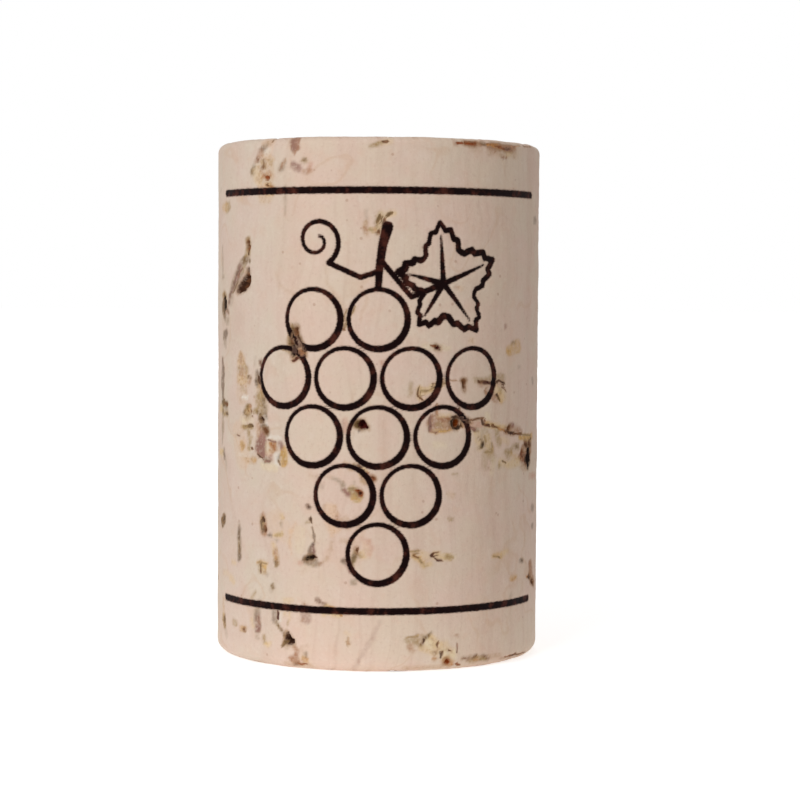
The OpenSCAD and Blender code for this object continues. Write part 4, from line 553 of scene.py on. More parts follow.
    (2.3, 2.35, 3, 2.25, 0.5, 0.6, 0.4, "moss"), (2.4, 1.85, 2.5, 1.65, 0.4, 0.4, 0.35, "tan"),
    (3.9, 2.4, 4.2, 2.1, 0.45, 0.5, 0.8, "straw"), (3.3, 1.75, 4.3, 1.5, 0.5, 0.6, 0.5, "straw"),
    (4.3, 2, 4.9, 1.7, 0.6, 0.6, 0.35, "straw"), (5, 1.8, 5.5, 1.2, 0.8, 0.8, 0.35, "straw"),
    (4.9, 1.1, 5.4, 0.9, 0.5, 0.5, 0.5, "cream"), (3.65, 2.2, 3.95, 1.9, 0.4, 0.4, 0.6, "cream"),
    (5, 1.5, 5.1, 1.2, 0.4, 0.4, 0.6, "cream"), (5.7, 1.4, 5.8, 1, 0.3, 0.3, 0.5, "cream"),
    (4.55, 1.62, 4.4, 1.48, 0.12, 0.1, 0.4, "clay"), (2, 0.25, 5, 0.25, 0.25, 0.25, 0.4, "tan"),
    (5.1, 0.8, 5.5, 0.5, 0.6, 0.56, 0.55, "amber"), (7.2, 0.65, 8.6, 0.65, 0.34, 0.44, 0.75, "moss"),
    (8.8, 0.7, 10.1, 0.65, 0.4, 0.3, 0.4, "tan"), (10.3, 0.35, 14, 0.3, 0.2, 0.14, 0.45, "clay"),
    (6.4, 0.75, 7.3, 0.75, 0.2, 0.3, 0.4, "tan"), (3.3, 2.6, 3.8, 2.65, 0.16, 0.2, 0.35, "moss"),
    (5.35, 1.5, 5.45, 1.4, 0.2, 0.2, 0.5, "tan"), (4.2, 0.95, 4.35, 0.9, 0.24, 0.2, 0.5, "tan"),
    # right of the lower middle
    (2.1, 8.65, 3, 8.65, 0.2, 0.2, 0.4, "tan"), (2.65, 8.38, 3, 8.1, 0.26, 0.3, 0.7, "ochre"),
    (3, 8.1, 3.4, 7.7, 0.3, 0.3, 0.6, "ochre"), (3.4, 7.7, 3.85, 7.75, 0.3, 0.26, 0.5, "straw"),
    (2.8, 8.1, 3.3, 7.8, 0.24, 0.3, 0.4, "straw"), (3.3, 8.45, 3.6, 8.3, 0.4, 0.4, 0.4, "straw"),
    (4.1, 8.5, 4.5, 8.5, 0.2, 0.2, 0.5, "straw"), (4.2, 8.3, 4.8, 8.2, 0.4, 0.3, 0.5, "straw"),
    (4.9, 8.2, 5.4, 8.15, 0.34, 0.36, 0.8, "straw"), (5.1, 8.2, 5.45, 8.12, 0.24, 0.24, 0.4, "moss"),
    (5.6, 8.1, 5.8, 8.1, 0.3, 0.2, 0.35, "cream"), (9.3, 7.95, 10.2, 8, 0.35, 0.4, 0.45, "ochre"),
    (10.2, 8, 10.9, 8.25, 0.35, 0.25, 0.45, "straw"), (11.5, 6.15, 12.2, 6.15, 0.3, 0.3, 0.5, "ochre"),
    (15, 6.8, 15.2, 6.2, 0.8, 1, 0.75, "clay"), (15.2, 5.8, 16.3, 5.3, 0.9, 0.6, 0.65, "clay"),
    (11.4, 4.9, 11.4, 4.5, 0.35, 0.35, 0.3, "mist"),
]


# ---- the surface: a wall with rounded rims and two ends ------------------------------------------

# How strongly the columns draw together on the branded side, the squares from the middle of an end
# to its rim, the columns round the wall that this makes, and the rows of the wall and of each rim.
CROWD = 0.45
HALF_SQUARE = 43
COLUMNS = 8 * HALF_SQUARE
WALL_ROWS = 232
RIM_ROWS = 6


def column_turn(share, crowd):
    """The angle round the axis of a column: an even turn t less crowd times sin t, which draws the
    columns together on the branded side."""
    turn = 2 * np.pi * share
    return turn - crowd * np.sin(turn)


def signed(turn):
    """The same angle between minus half a turn and half a turn."""
    return (turn + np.pi) % (2 * np.pi) - np.pi


def profile():
    """The wall's outline from the lower end to the upper: a quarter circle, a straight wall and a
    quarter circle. Gives the radius, height, outward direction and running height t of each row."""
    low = np.linspace(-np.pi / 2, 0, RIM_ROWS, endpoint=False)
    high = np.linspace(0, np.pi / 2, RIM_ROWS + 1)[1:]
    wall = np.linspace(BOTTOM_ROUND, LENGTH - TOP_ROUND, WALL_ROWS)
    radius = np.concatenate([
        RADIUS - BOTTOM_ROUND * (1 - np.cos(low)), np.full(WALL_ROWS, RADIUS),
        RADIUS - TOP_ROUND * (1 - np.cos(high))])
    height = np.concatenate([
        BOTTOM_ROUND * (1 + np.sin(low)), wall, LENGTH - TOP_ROUND * (1 - np.sin(high))])
    lean = np.concatenate([low, np.zeros(WALL_ROWS), high])
    run = np.concatenate([BOTTOM_ROUND * (1 + low), wall, LENGTH - TOP_ROUND * (1 - high)])
    return radius, height, lean, run


def square_rings():
    """A square grid as rings round its middle: the ring of each node, the share of the way round
    that ring, and which nodes lie on the outermost ring."""
    side = np.arange(-HALF_SQUARE, HALF_SQUARE + 1)
    i, j = np.meshgrid(side, side, indexing="ij")
    ring = np.maximum(abs(i), abs(j))
    step = np.where(
        (i == ring) & (j < ring), j + ring,
        np.where((j == ring) & (i > -ring), 3 * ring - i,
                 np.where((i == -ring) & (j > -ring), 5 * ring - j, 7 * ring + i)))
    share = step / np.maximum(8 * ring, 1) % 1.0
    return ring, share, ring == HALF_SQUARE


def stopper_surface():
    """The closed skin. The wall is a grid of angle by profile. Each end is a square grid drawn into
    a disc, ring by ring, whose outermost ring is the wall's first or last row. Gives points, outward
    directions, s, t and the faces."""
    radius, height, lean, run = profile()
    rows = len(radius)
    share = np.arange(COLUMNS) / COLUMNS
    turn = column_turn(share, CROWD)
    grid_turn, grid_radius = np.meshgrid(turn, radius)
    wall = np.stack([
        grid_radius * np.sin(grid_turn), -grid_radius * np.cos(grid_turn),
        np.repeat(height[:, None], COLUMNS, 1)], -1)
    out = np.stack([
        np.cos(lean)[:, None] * np.sin(turn), -np.cos(lean)[:, None] * np.cos(turn),
        np.repeat(np.sin(lean)[:, None], COLUMNS, 1)], -1)
    s = np.repeat(signed(turn)[None] * RADIUS, rows, 0)
    t = np.repeat(run[:, None], COLUMNS, 1)

    row, column = np.meshgrid(np.arange(rows - 1), np.arange(COLUMNS), indexing="ij")
    beside = (column + 1) % COLUMNS
    faces = [np.stack([
        row * COLUMNS + column, row * COLUMNS + beside, (row + 1) * COLUMNS + beside,
        (row + 1) * COLUMNS + column], -1).reshape(-1, 4)]

    ring, ring_share, rim = square_rings()
    inner = ring / HALF_SQUARE
    disc_turn = column_turn(ring_share, CROWD * inner ** 2)
    points, outs, ss, ts = [wall.reshape(-1, 3)], [out.reshape(-1, 3)], [s.ravel()], [t.ravel()]
    count = rows * COLUMNS
    for upper in (False, True):
        edge = radius[-1] if upper else radius[0]
        level = LENGTH if upper else 0.0
        disc = np.stack([
            inner * edge * np.sin(disc_turn), -inner * edge * np.cos(disc_turn),
            np.full(ring.shape, level)], -1)
        inside = ~rim
        index = np.empty(ring.shape, dtype=int)
        first = (rows - 1) * COLUMNS if upper else 0
        index[rim] = first + np.rint(ring_share[rim] * COLUMNS).astype(int) % COLUMNS
        index[inside] = count + np.arange(inside.sum())
        count += inside.sum()
        points.append(disc[inside])
        outs.append(np.tile([0.0, 0.0, 1.0 if upper else -1.0], (inside.sum(), 1)))
        ss.append((signed(disc_turn) * RADIUS)[inside])
        ts.append(((run[-1] + (1 - inner) * edge) if upper else (run[0] - (1 - inner) * edge))[inside])
        quads = np.stack([index[:-1, :-1], index[1:, :-1], index[1:, 1:], index[:-1, 1:]], -1)
        quads = quads.reshape(-1, 4)
        faces.append(quads if upper else quads[:, ::-1])
    return tuple(np.concatenate(part) for part in (points, outs, ss, ts, faces))


# ---- fields over the surface ---------------------------------------------------------------------

def ripple(points, size, seed, waves=36):
    """A smooth random field of about unit spread: the sum of cosine waves about size long that run
    in random directions."""
    rng = np.random.default_rng(seed)
    way = rng.normal(size=(waves, 3))
    way /= np.linalg.norm(way, axis=1, keepdims=True)
    pace = 2 * np.pi / size * rng.uniform(0.7, 1.5, waves)
    phase = rng.uniform(0, 2 * np.pi, waves)
    return np.cos(points @ (way * pace[:, None]).T + phase).sum(1) * math.sqrt(2 / waves)


def step_up(low, high, value):
    """0 below low, 1 above high, and a smooth cubic between."""
    x = np.clip((value - low) / (high - low), 0, 1)
    return x * x * (3 - 2 * x)


def stroke_place(x, y, mark):
    """For places beside a stroke: the share along its middle line, the distance to it, and the
    stroke's half width there."""
    x1, y1, x2, y2, width1, width2 = mark[:6]
    run_x, run_y = x2 - x1, y2 - y1
    along = ((x - x1) * run_x + (y - y1) * run_y) / max(run_x ** 2 + run_y ** 2, 1e-9)
    held = np.clip(along, 0, 1)
    away = np.hypot(x - x1 - held * run_x, y - y1 - held * run_y)
    return along, away, (width1 + (width2 - width1) * held) / 2


def stroke_gap(x, y, mark):
    """Distance from places to the edge of a stroke, negative inside."""
    _, away, half = stroke_place(x, y, mark)
    return away - half


def stroke_line(x, y, mark):
    """A thin stroke as a signed distance to its middle line, positive on its right, and a half width
    that runs out past its ends and away from it. Both stay straight between neighbouring points of
    the mesh, so a line finer than the mesh still draws whole."""
    x1, y1, x2, y2 = mark[:4]
    along, away, half = stroke_place(x, y, mark)
    long = math.hypot(x2 - x1, y2 - y1)
    side = np.sign((x - x1) * (y2 - y1) - (y - y1) * (x2 - x1))
    beyond = np.maximum(np.maximum(-along, along - 1), 0) * long
    return np.where(side < 0, -away, away), half - beyond - 2 * np.maximum(away - 0.16, 0)


# The marks laid out by chance: how many of each there are and, for those of the wall, how far they
# keep from the middle of the branded side.
HALF_ROUND = math.pi * RADIUS
PORES, PORES_FROM = 46, 16.8
SPECKS, SPECKS_FROM = 34, 16.5
CHIPS, CHIPS_FROM = 9, 20
END_LANES, END_SPECKS = 15, 26


def shorter_way(s):
    """The same place on the wall, reached the shorter way round."""
    return s if s < HALF_ROUND else s - 2 * HALF_ROUND


def random_pores(rng):
    """Deep and soft marks for the wall behind the branded side. Each pore is a tapered patch with
    short pits along it: upright where the wall faces the bark's pores, and lying where it grazes
    them. Specks lie between them."""
    deep, soft = [], []
    for place in rng.permutation(PORES):
        share = (place + rng.uniform(0.1, 0.9)) / PORES
        s = shorter_way(PORES_FROM + share * 2 * (HALF_ROUND - PORES_FROM))
        t = rng.uniform(0.6, LENGTH - 0.6)
        upright = abs(math.cos(s / RADIUS - BARK_TURN)) > 0.6
        size = rng.choice([0.5, 0.8, 1.2, 1.6], p=[0.3, 0.35, 0.25, 0.1])
        reach = size * (rng.uniform(0.4, 0.75) if upright else rng.uniform(0.7, 1.7))
        wide = size * rng.uniform(0.35, 0.6)
        lean = rng.normal() * 0.14
        way = np.array([lean, 1.0]) if upright else np.array([1.0, lean])
        side = np.array([way[1], -way[0]])
        tone = rng.choice(["ochre", "sand", "mauve", "plum", "mist", "tan"])
        core = rng.choice(["umber", "black", "brown", "olive", "rust"])

        def stroke(first, last, aside, width1, width2, *finish):
            one = (s, t) + way * reach * first + side * wide * aside
            two = (s, t) + way * reach * last + side * wide * aside
            return (*one, *two, width1 * wide, width2 * wide, *finish)

        middle = rng.uniform(-0.4, 0.4)
        soft.append(stroke(-1, middle, 0.0, 0.2, 1.0, 0.65, tone))
        soft.append(stroke(middle, 1, rng.normal() * 0.12, 1.1, 0.15, 0.65, tone))
        soft.append(stroke(middle - 0.3, middle + 0.4, rng.normal() * 0.3, 0.8, 0.5, 0.4, "moss"))
        for _ in range(int(2 + 1.6 * reach)):
            first = rng.uniform(-0.9, 0.4)
            last = first + rng.uniform(0.15, 0.6)
            deep.append(stroke(first, last, rng.normal() * 0.16, rng.uniform(0.12, 0.5),
                               rng.uniform(0.15, 0.7), 0.3 * size, core))
        if size > 1:
            deep.append(stroke(middle, middle + 0.25, rng.normal() * 0.1, 0.55, 0.75, 0.45, "black"))
    for _ in range(SPECKS):
        s = shorter_way(rng.uniform(SPECKS_FROM, 2 * HALF_ROUND - SPECKS_FROM))
        t = rng.uniform(0.5, LENGTH - 0.5)
        wide = rng.uniform(0.12, 0.34)
        tone = rng.choice(["olive", "brown", "umber", "grey"])
        deep.append((s, t, s + rng.normal() * 0.1, t + rng.normal() * 0.25,
                     wide, wide * 0.7, 0.12, tone))
    return deep, soft


def end_marks(rng):
    """Deep and soft marks for one end, in p along the bark's pores and q across them: channels
    that run along p, broken into dark pieces, and a few specks."""
    deep, soft = [], []
    for lane in rng.permutation(END_LANES):
        q = ((lane + rng.uniform(0.1, 0.9)) / END_LANES * 2 - 1) * 0.93 * RADIUS
        room = math.sqrt(RADIUS ** 2 - q ** 2)
        long = rng.uniform(0.12, 0.85) * room
        p = rng.uniform(-1, 1) * (room - long / 2)
        bend = rng.normal() * 0.3
        wide = rng.uniform(0.25, 0.75)
        tone = rng.choice(["sand", "ochre", "tan", "mist", "plum"])
        soft.append((p - long / 2, q, p + long / 2, q + bend, wide * 1.5, wide, 0.55, tone))
        for _ in range(int(2 + long * 1.1)):
            share = rng.uniform(-0.5, 0.4)
            reach = rng.uniform(0.15, 0.5) * min(long, 4)
            first = p + share * long
            level = q + (share + 0.5) * bend + rng.normal() * 0.12
            deep.append((first, level, first + reach, level + rng.normal() * 0.1,
                         rng.uniform(0.08, 0.4) * wide, rng.uniform(0.2, 0.7) * wide,
                         rng.uniform(0.2, 0.7),
                         rng.choice(["umber", "brown", "black", "olive", "rust"])))
    for _ in range(END_SPECKS):
        away, turn = RADIUS * math.sqrt(rng.uniform(0, 0.9)), rng.uniform(0, 2 * math.pi)
        p, q = away * math.cos(turn), away * math.sin(turn)
        wide = rng.uniform(0.12, 0.3)
        deep.append((p, q, p + rng.normal() * 0.3, q + rng.normal() * 0.08, wide, wide * 0.7, 0.12,
                     rng.choice(["olive", "brown", "umber"])))
    return deep, soft


def rim_chips(rng):
    """Short torn places along both rims, away from the branded side."""
    deep = []
    for upper in (False, True):
        for _ in range(CHIPS):
            s = shorter_way(rng.uniform(CHIPS_FROM, 2 * HALF_ROUND - CHIPS_FROM))
            t = LENGTH - 0.05 if upper else 0.1
            long = rng.uniform(0.5, 2.4)
            deep.append((s, t, s + long, t + rng.normal() * 0.1,
                         rng.uniform(0.15, 0.4), rng.uniform(0.2, 0.6), rng.uniform(0.15, 0.35),
                         rng.choice(["brown", "rust", "umber"])))
    return deep


class Skin:
    """The fields that the marks add up to: how deep each point sinks, the tint of soft patches with
    its strength and crumble, and the nearest deep mark and thin line with their tones."""

    def __init__(self, count):
        self.sink = np.zeros(count)
        self.tint = np.tile(TONES["sand"], (count, 1))
        self.strength = np.zeros(count)
        self.crumble = np.zeros(count)
        self.gap = np.full(count, 1.0)
        self.tone = np.tile(TONES["brown"], (count, 1))
        self.line = np.full(count, 1.0)
        self.line_half = np.full(count, -1.0)
        self.line_tone = np.tile(TONES["brown"], (count, 1))

    def cut(self, x, y, marks, where, level=None):
        """Sinks the wall inside each wide stroke, steep at its edge and flat in its middle, with the
        later stroke's tone over the earlier one's. Draws each thin stroke, or stains the wall with
        it where it is short and shallow. With a level, the distance below an end, a stroke also
        shows as a notch where it runs out at the rim."""
        for mark in marks:
            if max(mark[4], mark[5]) < THIN:
                near = where if level is None else where & (level < 0.3)
                if math.dist(mark[:2], mark[2:4]) < SHORT and mark[6] < SHALLOW:
                    self.stain(x, y, [(*mark[:6], 0.3 + 4 * mark[6], mark[7])], near)
                else:
                    self.draw(x, y, mark, near)
                continue
            gap = stroke_gap(x, y, mark)
            depth = mark[6]
            if level is not None:
                gap = np.maximum(gap, level - depth)
            gap = np.where(where, gap, 1.0)
            half = max(mark[4], mark[5]) / 2
            self.sink = np.maximum(self.sink, depth * step_up(-0.05, min(half, 0.3), -gap))
            self.tone[(gap < self.gap) | (gap < -0.03)] = TONES[mark[7]]
            self.gap = np.minimum(self.gap, gap)

    def draw(self, x, y, mark, where):
        """Keeps a thin stroke where it comes nearer than the ones drawn before it."""
        line, half = stroke_line(x, y, mark)
        nearer = where & (half - abs(line) > self.line_half - abs(self.line))
        self.line = np.where(nearer, line, self.line)
        self.line_half = np.where(nearer, half, self.line_half)
        self.line_tone[nearer] = TONES[mark[7]]
        groove = 0.3 * mark[6] * step_up(-0.12, 0.06, half - abs(line))
        self.sink = np.maximum(self.sink, where * groove)

    def stain(self, x, y, marks, where):
        """Lays a soft tint over each stroke, one over another, that fades out at its edge."""
        for mark in marks:
            gap = stroke_gap(x, y, mark)
            cover = min(1.3 * mark[6], 1) * step_up(-0.18, 0.1, -gap) * where
            total = cover + self.strength * (1 - cover)
            share = cover / np.maximum(total, 1e-6)
            self.tint += (np.array(TONES[mark[7]]) - self.tint) * share[:, None]
            self.crumble += (CRUMBLY.get(mark[7], 0.0) - self.crumble) * share
            self.strength = total


# ---- the branded mark: a bunch of grapes with a leaf and a tendril, between two rules -------------

# The line's width, the grapes, the height of the bunch's middle row, and the stem, leaf and tendril
LINE_W = 0.4
GRAPE_D = 4.2
BUNCH_HEIGHT = 16.8
STEM_LEN = 4.2
LEAF_REACH = 4.4
LEAF_TURN = 22
CURL_D = 3.6
# The two rules: their width, how far each lies from the end next to it, and the arc length from the
# middle to where they stop
RULE_W = 0.5
LOW_RULE = 4.4
HIGH_RULE = 3.8
RULE_REACH = RADIUS * math.radians(68)
BRAND_DEPTH = 0.07

PITCH = GRAPE_D + 1.5 * LINE_W
ROW_STEP = PITCH * math.sin(math.radians(60))
BUNCH_TOP = BUNCH_HEIGHT + 2 * ROW_STEP + GRAPE_D / 2
LEAF_MIDDLE = np.array([LEAF_REACH * 1.08, BUNCH_TOP + 0.1 * LEAF_REACH])
# The grapes of each row from the top, in pitches right of the middle
BUNCH_ROWS = ((-1, 0), (-1.5, -0.5, 0.5, 1.5), (-1, 0, 1), (-0.5, 0.5), (0,))


def circle_gap(x, y, middle):
    """Gap to a grape's line: the distance to its circle less half of a width that swells towards the
    lower right."""
    dx, dy = x - middle[0], y - middle[1]
    away = np.hypot(dx, dy)
    swell = 1 + 0.28 * (dx - dy) / np.maximum(away, 1e-6) / math.sqrt(2)
    return abs(away - GRAPE_D / 2) - LINE_W * swell / 2


def route_gap(x, y, route, widths):
    """Gap to a line along a route: the least gap of the strokes between its points."""
    gap = np.full(x.shape, 9.0)
    for (a, b), (wide_a, wide_b) in zip(zip(route, route[1:]), zip(widths, widths[1:])):
        gap = np.minimum(gap, stroke_gap(x, y, (*a, *b, wide_a, wide_b)))
    return gap


def on_leaf(turn, share):
    """A point of the leaf at a share of its outline's radius: five lobes, the longest ahead and the
    shortest beside the stalk, that narrow from notch to tip, with a tooth every 12 degrees."""
    off = abs((turn + 36) % 72 - 36) / 36
    back = min(turn, 360 - turn) / 180
    tooth = 1 + 0.05 * math.cos(math.radians(30 * turn))
    radius = LEAF_REACH * (1 - 0.4 * back ** 2) * (1 - 0.42 * off ** 1.1) * tooth
    way = math.radians(turn + LEAF_TURN)
    return LEAF_MIDDLE + share * radius * np.array([math.cos(way), math.sin(way)])


def brand_lines():
    """The routes of the leaf, its veins and stalk, the stem and the tendril, with their widths."""
    lines = []
    outline = [on_leaf(turn, 1) for turn in (*range(0, 360, 3), 0)]
    lines.append((outline, [LINE_W * (1 + 0.2 * math.sin(i / 6)) for i in range(len(outline))]))
    for turn in range(0, 360, 72):
        vein = [LEAF_MIDDLE, on_leaf(turn, 0.4), on_leaf(turn, 0.78)]
        lines.append((vein, [LINE_W * 1.1, LINE_W * 0.8, LINE_W * 0.35]))
    foot = np.array([0.0, BUNCH_TOP + LINE_W / 2])
    stem = [foot + STEM_LEN * np.array(share)
            for share in ((0, 0), (0.02, 0.35), (0.07, 0.7), (0.15, 1))]
    lines.append((stem, [LINE_W * share for share in (1.2, 1.4, 1.6, 2.0)]))
    stalk = [foot + STEM_LEN * np.array([0.03, 0.45]), on_leaf(180, 1.6), LEAF_MIDDLE]
    lines.append((stalk, [LINE_W, LINE_W * 0.9, LINE_W * 1.1]))
    middle = np.array([-CURL_D * 1.25, BUNCH_TOP + 0.95 * CURL_D])
    tendril = [np.array([0, BUNCH_TOP + 0.3 * STEM_LEN]),
               np.array([-0.35 * CURL_D, BUNCH_TOP + 0.2 * STEM_LEN])]
    for turn in range(-60, 421, 12):
        reach = CURL_D / 2 * (1 - 0.78 * (turn + 60) / 480)
        way = math.radians(turn)
        tendril.append(middle + reach * np.array([math.cos(way), math.sin(way)]))
    lines.append((tendril, list(np.linspace(0.95, 0.55, len(tendril)) * LINE_W)))
    return lines


def brand_gap(s, t):
    """Signed gap from places on the wall to the nearest branded line, negative on it."""
    gap = np.full(s.shape, 2.0)
    near = abs(s) < RULE_REACH + 1
    x, y = s[near], t[near]
    best = np.full(x.shape, 2.0)
    for height in (LOW_RULE, LENGTH - HIGH_RULE):
        rule = (-RULE_REACH, height, RULE_REACH, height, RULE_W, RULE_W)
        best = np.minimum(best, stroke_gap(x, y, rule))
    for row, places in enumerate(BUNCH_ROWS):
        for place in places:
            middle = (place * PITCH, BUNCH_HEIGHT + (2 - row) * ROW_STEP)
            best = np.minimum(best, circle_gap(x, y, middle))
    for route, widths in brand_lines():
        best = np.minimum(best, route_gap(x, y, route, widths))
    gap[near] = best
    return gap


# ---- the mesh ------------------------------------------------------------------------------------

# Marks of the wall reach this far in over the ends
WALL_MARGIN = 2.2


def store(mesh, name, values):
    """Keeps one value, or one colour, for each point of a mesh under a name."""
    colours = values.ndim == 2
    if colours:
        values = np.hstack([values, np.ones((len(values), 1))])
    layer = mesh.attributes.new(name, "FLOAT_COLOR" if colours else "FLOAT", "POINT")
    layer.data.foreach_set("color" if colours else "value", values.astype(np.float32).ravel())


def make_stopper():
    """The stopper's skin: every point of the closed surface moved in along its outward direction by
    the depth of the marks there, with the marks' tints and gaps kept as attributes."""
    points, outs, s, t, faces = stopper_surface()
    height = points[:, 2]
    along = points @ BARK
    across = points @ ACROSS

    stray_s = 0.02 * ripple(points, 1.3, 1) + 0.03 * ripple(points, 0.6, 2)
    stray_t = 0.02 * ripple(points, 1.3, 3) + 0.03 * ripple(points, 0.6, 4)
    on_wall = np.hypot(points[:, 0], points[:, 1]) > RADIUS - WALL_MARGIN

    rng = np.random.default_rng(7)
    skin = Skin(len(points))
    back_deep, back_soft = random_pores(rng)
    back_deep += rim_chips(rng)
    skin.stain(s + stray_s, t + stray_t, SOFT + back_soft, on_wall)
    skin.cut(s + stray_s, t + stray_t, DEEP + back_deep, on_wall)
    for upper in (False, True):
        deep, soft = end_marks(rng)
        level = LENGTH - height if upper else height
        skin.stain(along + stray_s, across + stray_t, soft, level < 0.02)
        skin.cut(along + stray_s, across + stray_t, deep, level < 1.0, level)

    ink = brand_gap(s, t)
    brand = BRAND_DEPTH * step_up(-0.06, 0.14, -ink) * (skin.sink < 0.1)
    crumble = skin.crumble * skin.strength * (0.05 + 0.05 * ripple(points, 0.45, 5))
    unevenness = 0.012 * ripple(points, 3.0, 8) + 0.006 * ripple(points, 0.7, 9)
    lumps = skin.sink * 0.25 * ripple(points, 0.4, 10)
    sink = skin.sink + lumps * (skin.sink > 0) + brand + np.maximum(crumble, 0)
    sink = np.maximum(sink + unevenness + 0.02, 0)
    placed = points - outs * sink[:, None]

    mesh = bpy.data.meshes.new("stopper_skin")
    mesh.vertices.add(len(placed))
    mesh.vertices.foreach_set("co", (placed * MM).astype(np.float32).ravel())
    mesh.loops.add(faces.size)
    mesh.loops.foreach_set("vertex_index", faces.astype(np.int32).ravel())
    mesh.polygons.add(len(faces))
    mesh.polygons.foreach_set("loop_start", np.arange(0, faces.size, 4, dtype=np.int32))
    mesh.update(calc_edges=True)
    mesh.polygons.foreach_set("use_smooth", np.ones(len(faces), dtype=bool))
    for name in ("tint", "tone", "line_tone", "strength", "line", "line_half", "gap"):
        store(mesh, name, getattr(skin, name))
    store(mesh, "crumble", skin.crumble * skin.strength)
    store(mesh, "ink", ink)
    store(mesh, "sunk", skin.sink)
    store(mesh, "end_face", step_up(0.6, 0.95, abs(outs[:, 2])))
    mesh.validate()
    piece = bpy.data.objects.new("cork_stopper", mesh)
    bpy.context.collection.objects.link(piece)
    return piece


# ---- the cork's finish ---------------------------------------------------------------------------

class Nodes:
    """Short names for the nodes of one material."""

    def __init__(self, material):
        self.tree = material.node_tree
        self.tree.nodes.clear()
        self.place = self.add("ShaderNodeTexCoord").outputs["Object"]

    def add(self, kind, **settings):
        """A new node of a kind with its settings."""
        node = self.tree.nodes.new(kind)
        for name, value in settings.items():
            setattr(node, name, value)
        return node

    def put(self, socket, value):
        """Gives a socket its value: a link, a colour or a number."""
        if isinstance(value, bpy.types.NodeSocket):
            self.tree.links.new(value, socket)
        elif socket.type == "RGBA" and not isinstance(value, (int, float)):
            socket.default_value = (*value, 1.0)
        else:
            socket.default_value = value

    def math(self, operation, *values, clamp=False):
        """The outcome of a sum on numbers, held between 0 and 1 with clamp."""
        node = self.add("ShaderNodeMath", operation=operation, use_clamp=clamp)
        for socket, value in zip(node.inputs, values):
            self.put(socket, value)
        return node.outputs[0]

    def vector(self, operation, *values):
        """The outcome of a sum on vectors."""
        node = self.add("ShaderNodeVectorMath", operation=operation)
        for socket, value in zip(node.inputs, values):
            self.put(socket, value)
        return node.outputs["Value" if operation in ("DOT_PRODUCT", "LENGTH") else "Vector"]

    def span(self, value, low, high, to_low=0.0, to_high=1.0):
        """Maps low to high onto to_low to to_high, smoothly and held at both."""
        node = self.add("ShaderNodeMapRange", interpolation_type="SMOOTHSTEP")
        for socket, number in zip(node.inputs, (value, low, high, to_low, to_high)):
            self.put(socket, number)
        return node.outputs[0]

    def mix(self, share, first, second, blend="MIX"):
        """The first colour with a share of the second laid over it."""
        node = self.add("ShaderNodeMix", data_type="RGBA", blend_type=blend)
        self.put(node.inputs[0], share)
        self.put(node.inputs[6], first)
        self.put(node.inputs[7], second)
        return node.outputs[2]

    def noise(self, size, detail=2.0, where=None, rough=0.5):
        """Noise whose grains are about size millimetres across, from 0 to 1."""
        node = self.add("ShaderNodeTexNoise")
        self.put(node.inputs["Vector"], self.place if where is None else where)
        node.inputs["Scale"].default_value = 1 / (size * MM)
        node.inputs["Detail"].default_value = detail
        node.inputs["Roughness"].default_value = rough
        return node.outputs["Fac"]

    def strayed(self, size, reach):
        """The place, carried off by up to about reach millimetres in waves size millimetres long."""
        node = self.add("ShaderNodeTexNoise")
        self.put(node.inputs["Vector"], self.place)
        node.inputs["Scale"].default_value = 1 / (size * MM)
        off = self.vector("SUBTRACT", node.outputs["Color"], (0.5, 0.5, 0.5))
        return self.vector("ADD", self.place, self.vector("MULTIPLY", off, (4 * reach * MM,) * 3))

    def cells(self, size, where):
        """Cells about size millimetres across: the distance from each cell's middle, in cells, and
        a number from 0 to 1 for each cell."""
        node = self.add("ShaderNodeTexVoronoi")
        self.put(node.inputs["Vector"], where)
        node.inputs["Scale"].default_value = 1 / (size * MM)
        pick = self.add("ShaderNodeSeparateColor")
        self.put(pick.inputs[0], node.outputs["Color"])
        return node.outputs["Distance"], pick.outputs[0]

    def cell_edges(self, size, where):
        """The distance to the nearest edge between the same cells, in cells."""
        node = self.add("ShaderNodeTexVoronoi", feature="DISTANCE_TO_EDGE")
        self.put(node.inputs["Vector"], where)
        node.inputs["Scale"].default_value = 1 / (size * MM)
        return node.outputs["Distance"]

    def kept(self, name, colour=False):
        """What the mesh keeps under a name at each point."""
        node = self.add("ShaderNodeAttribute", attribute_name=name)
        return node.outputs["Color" if colour else "Fac"]


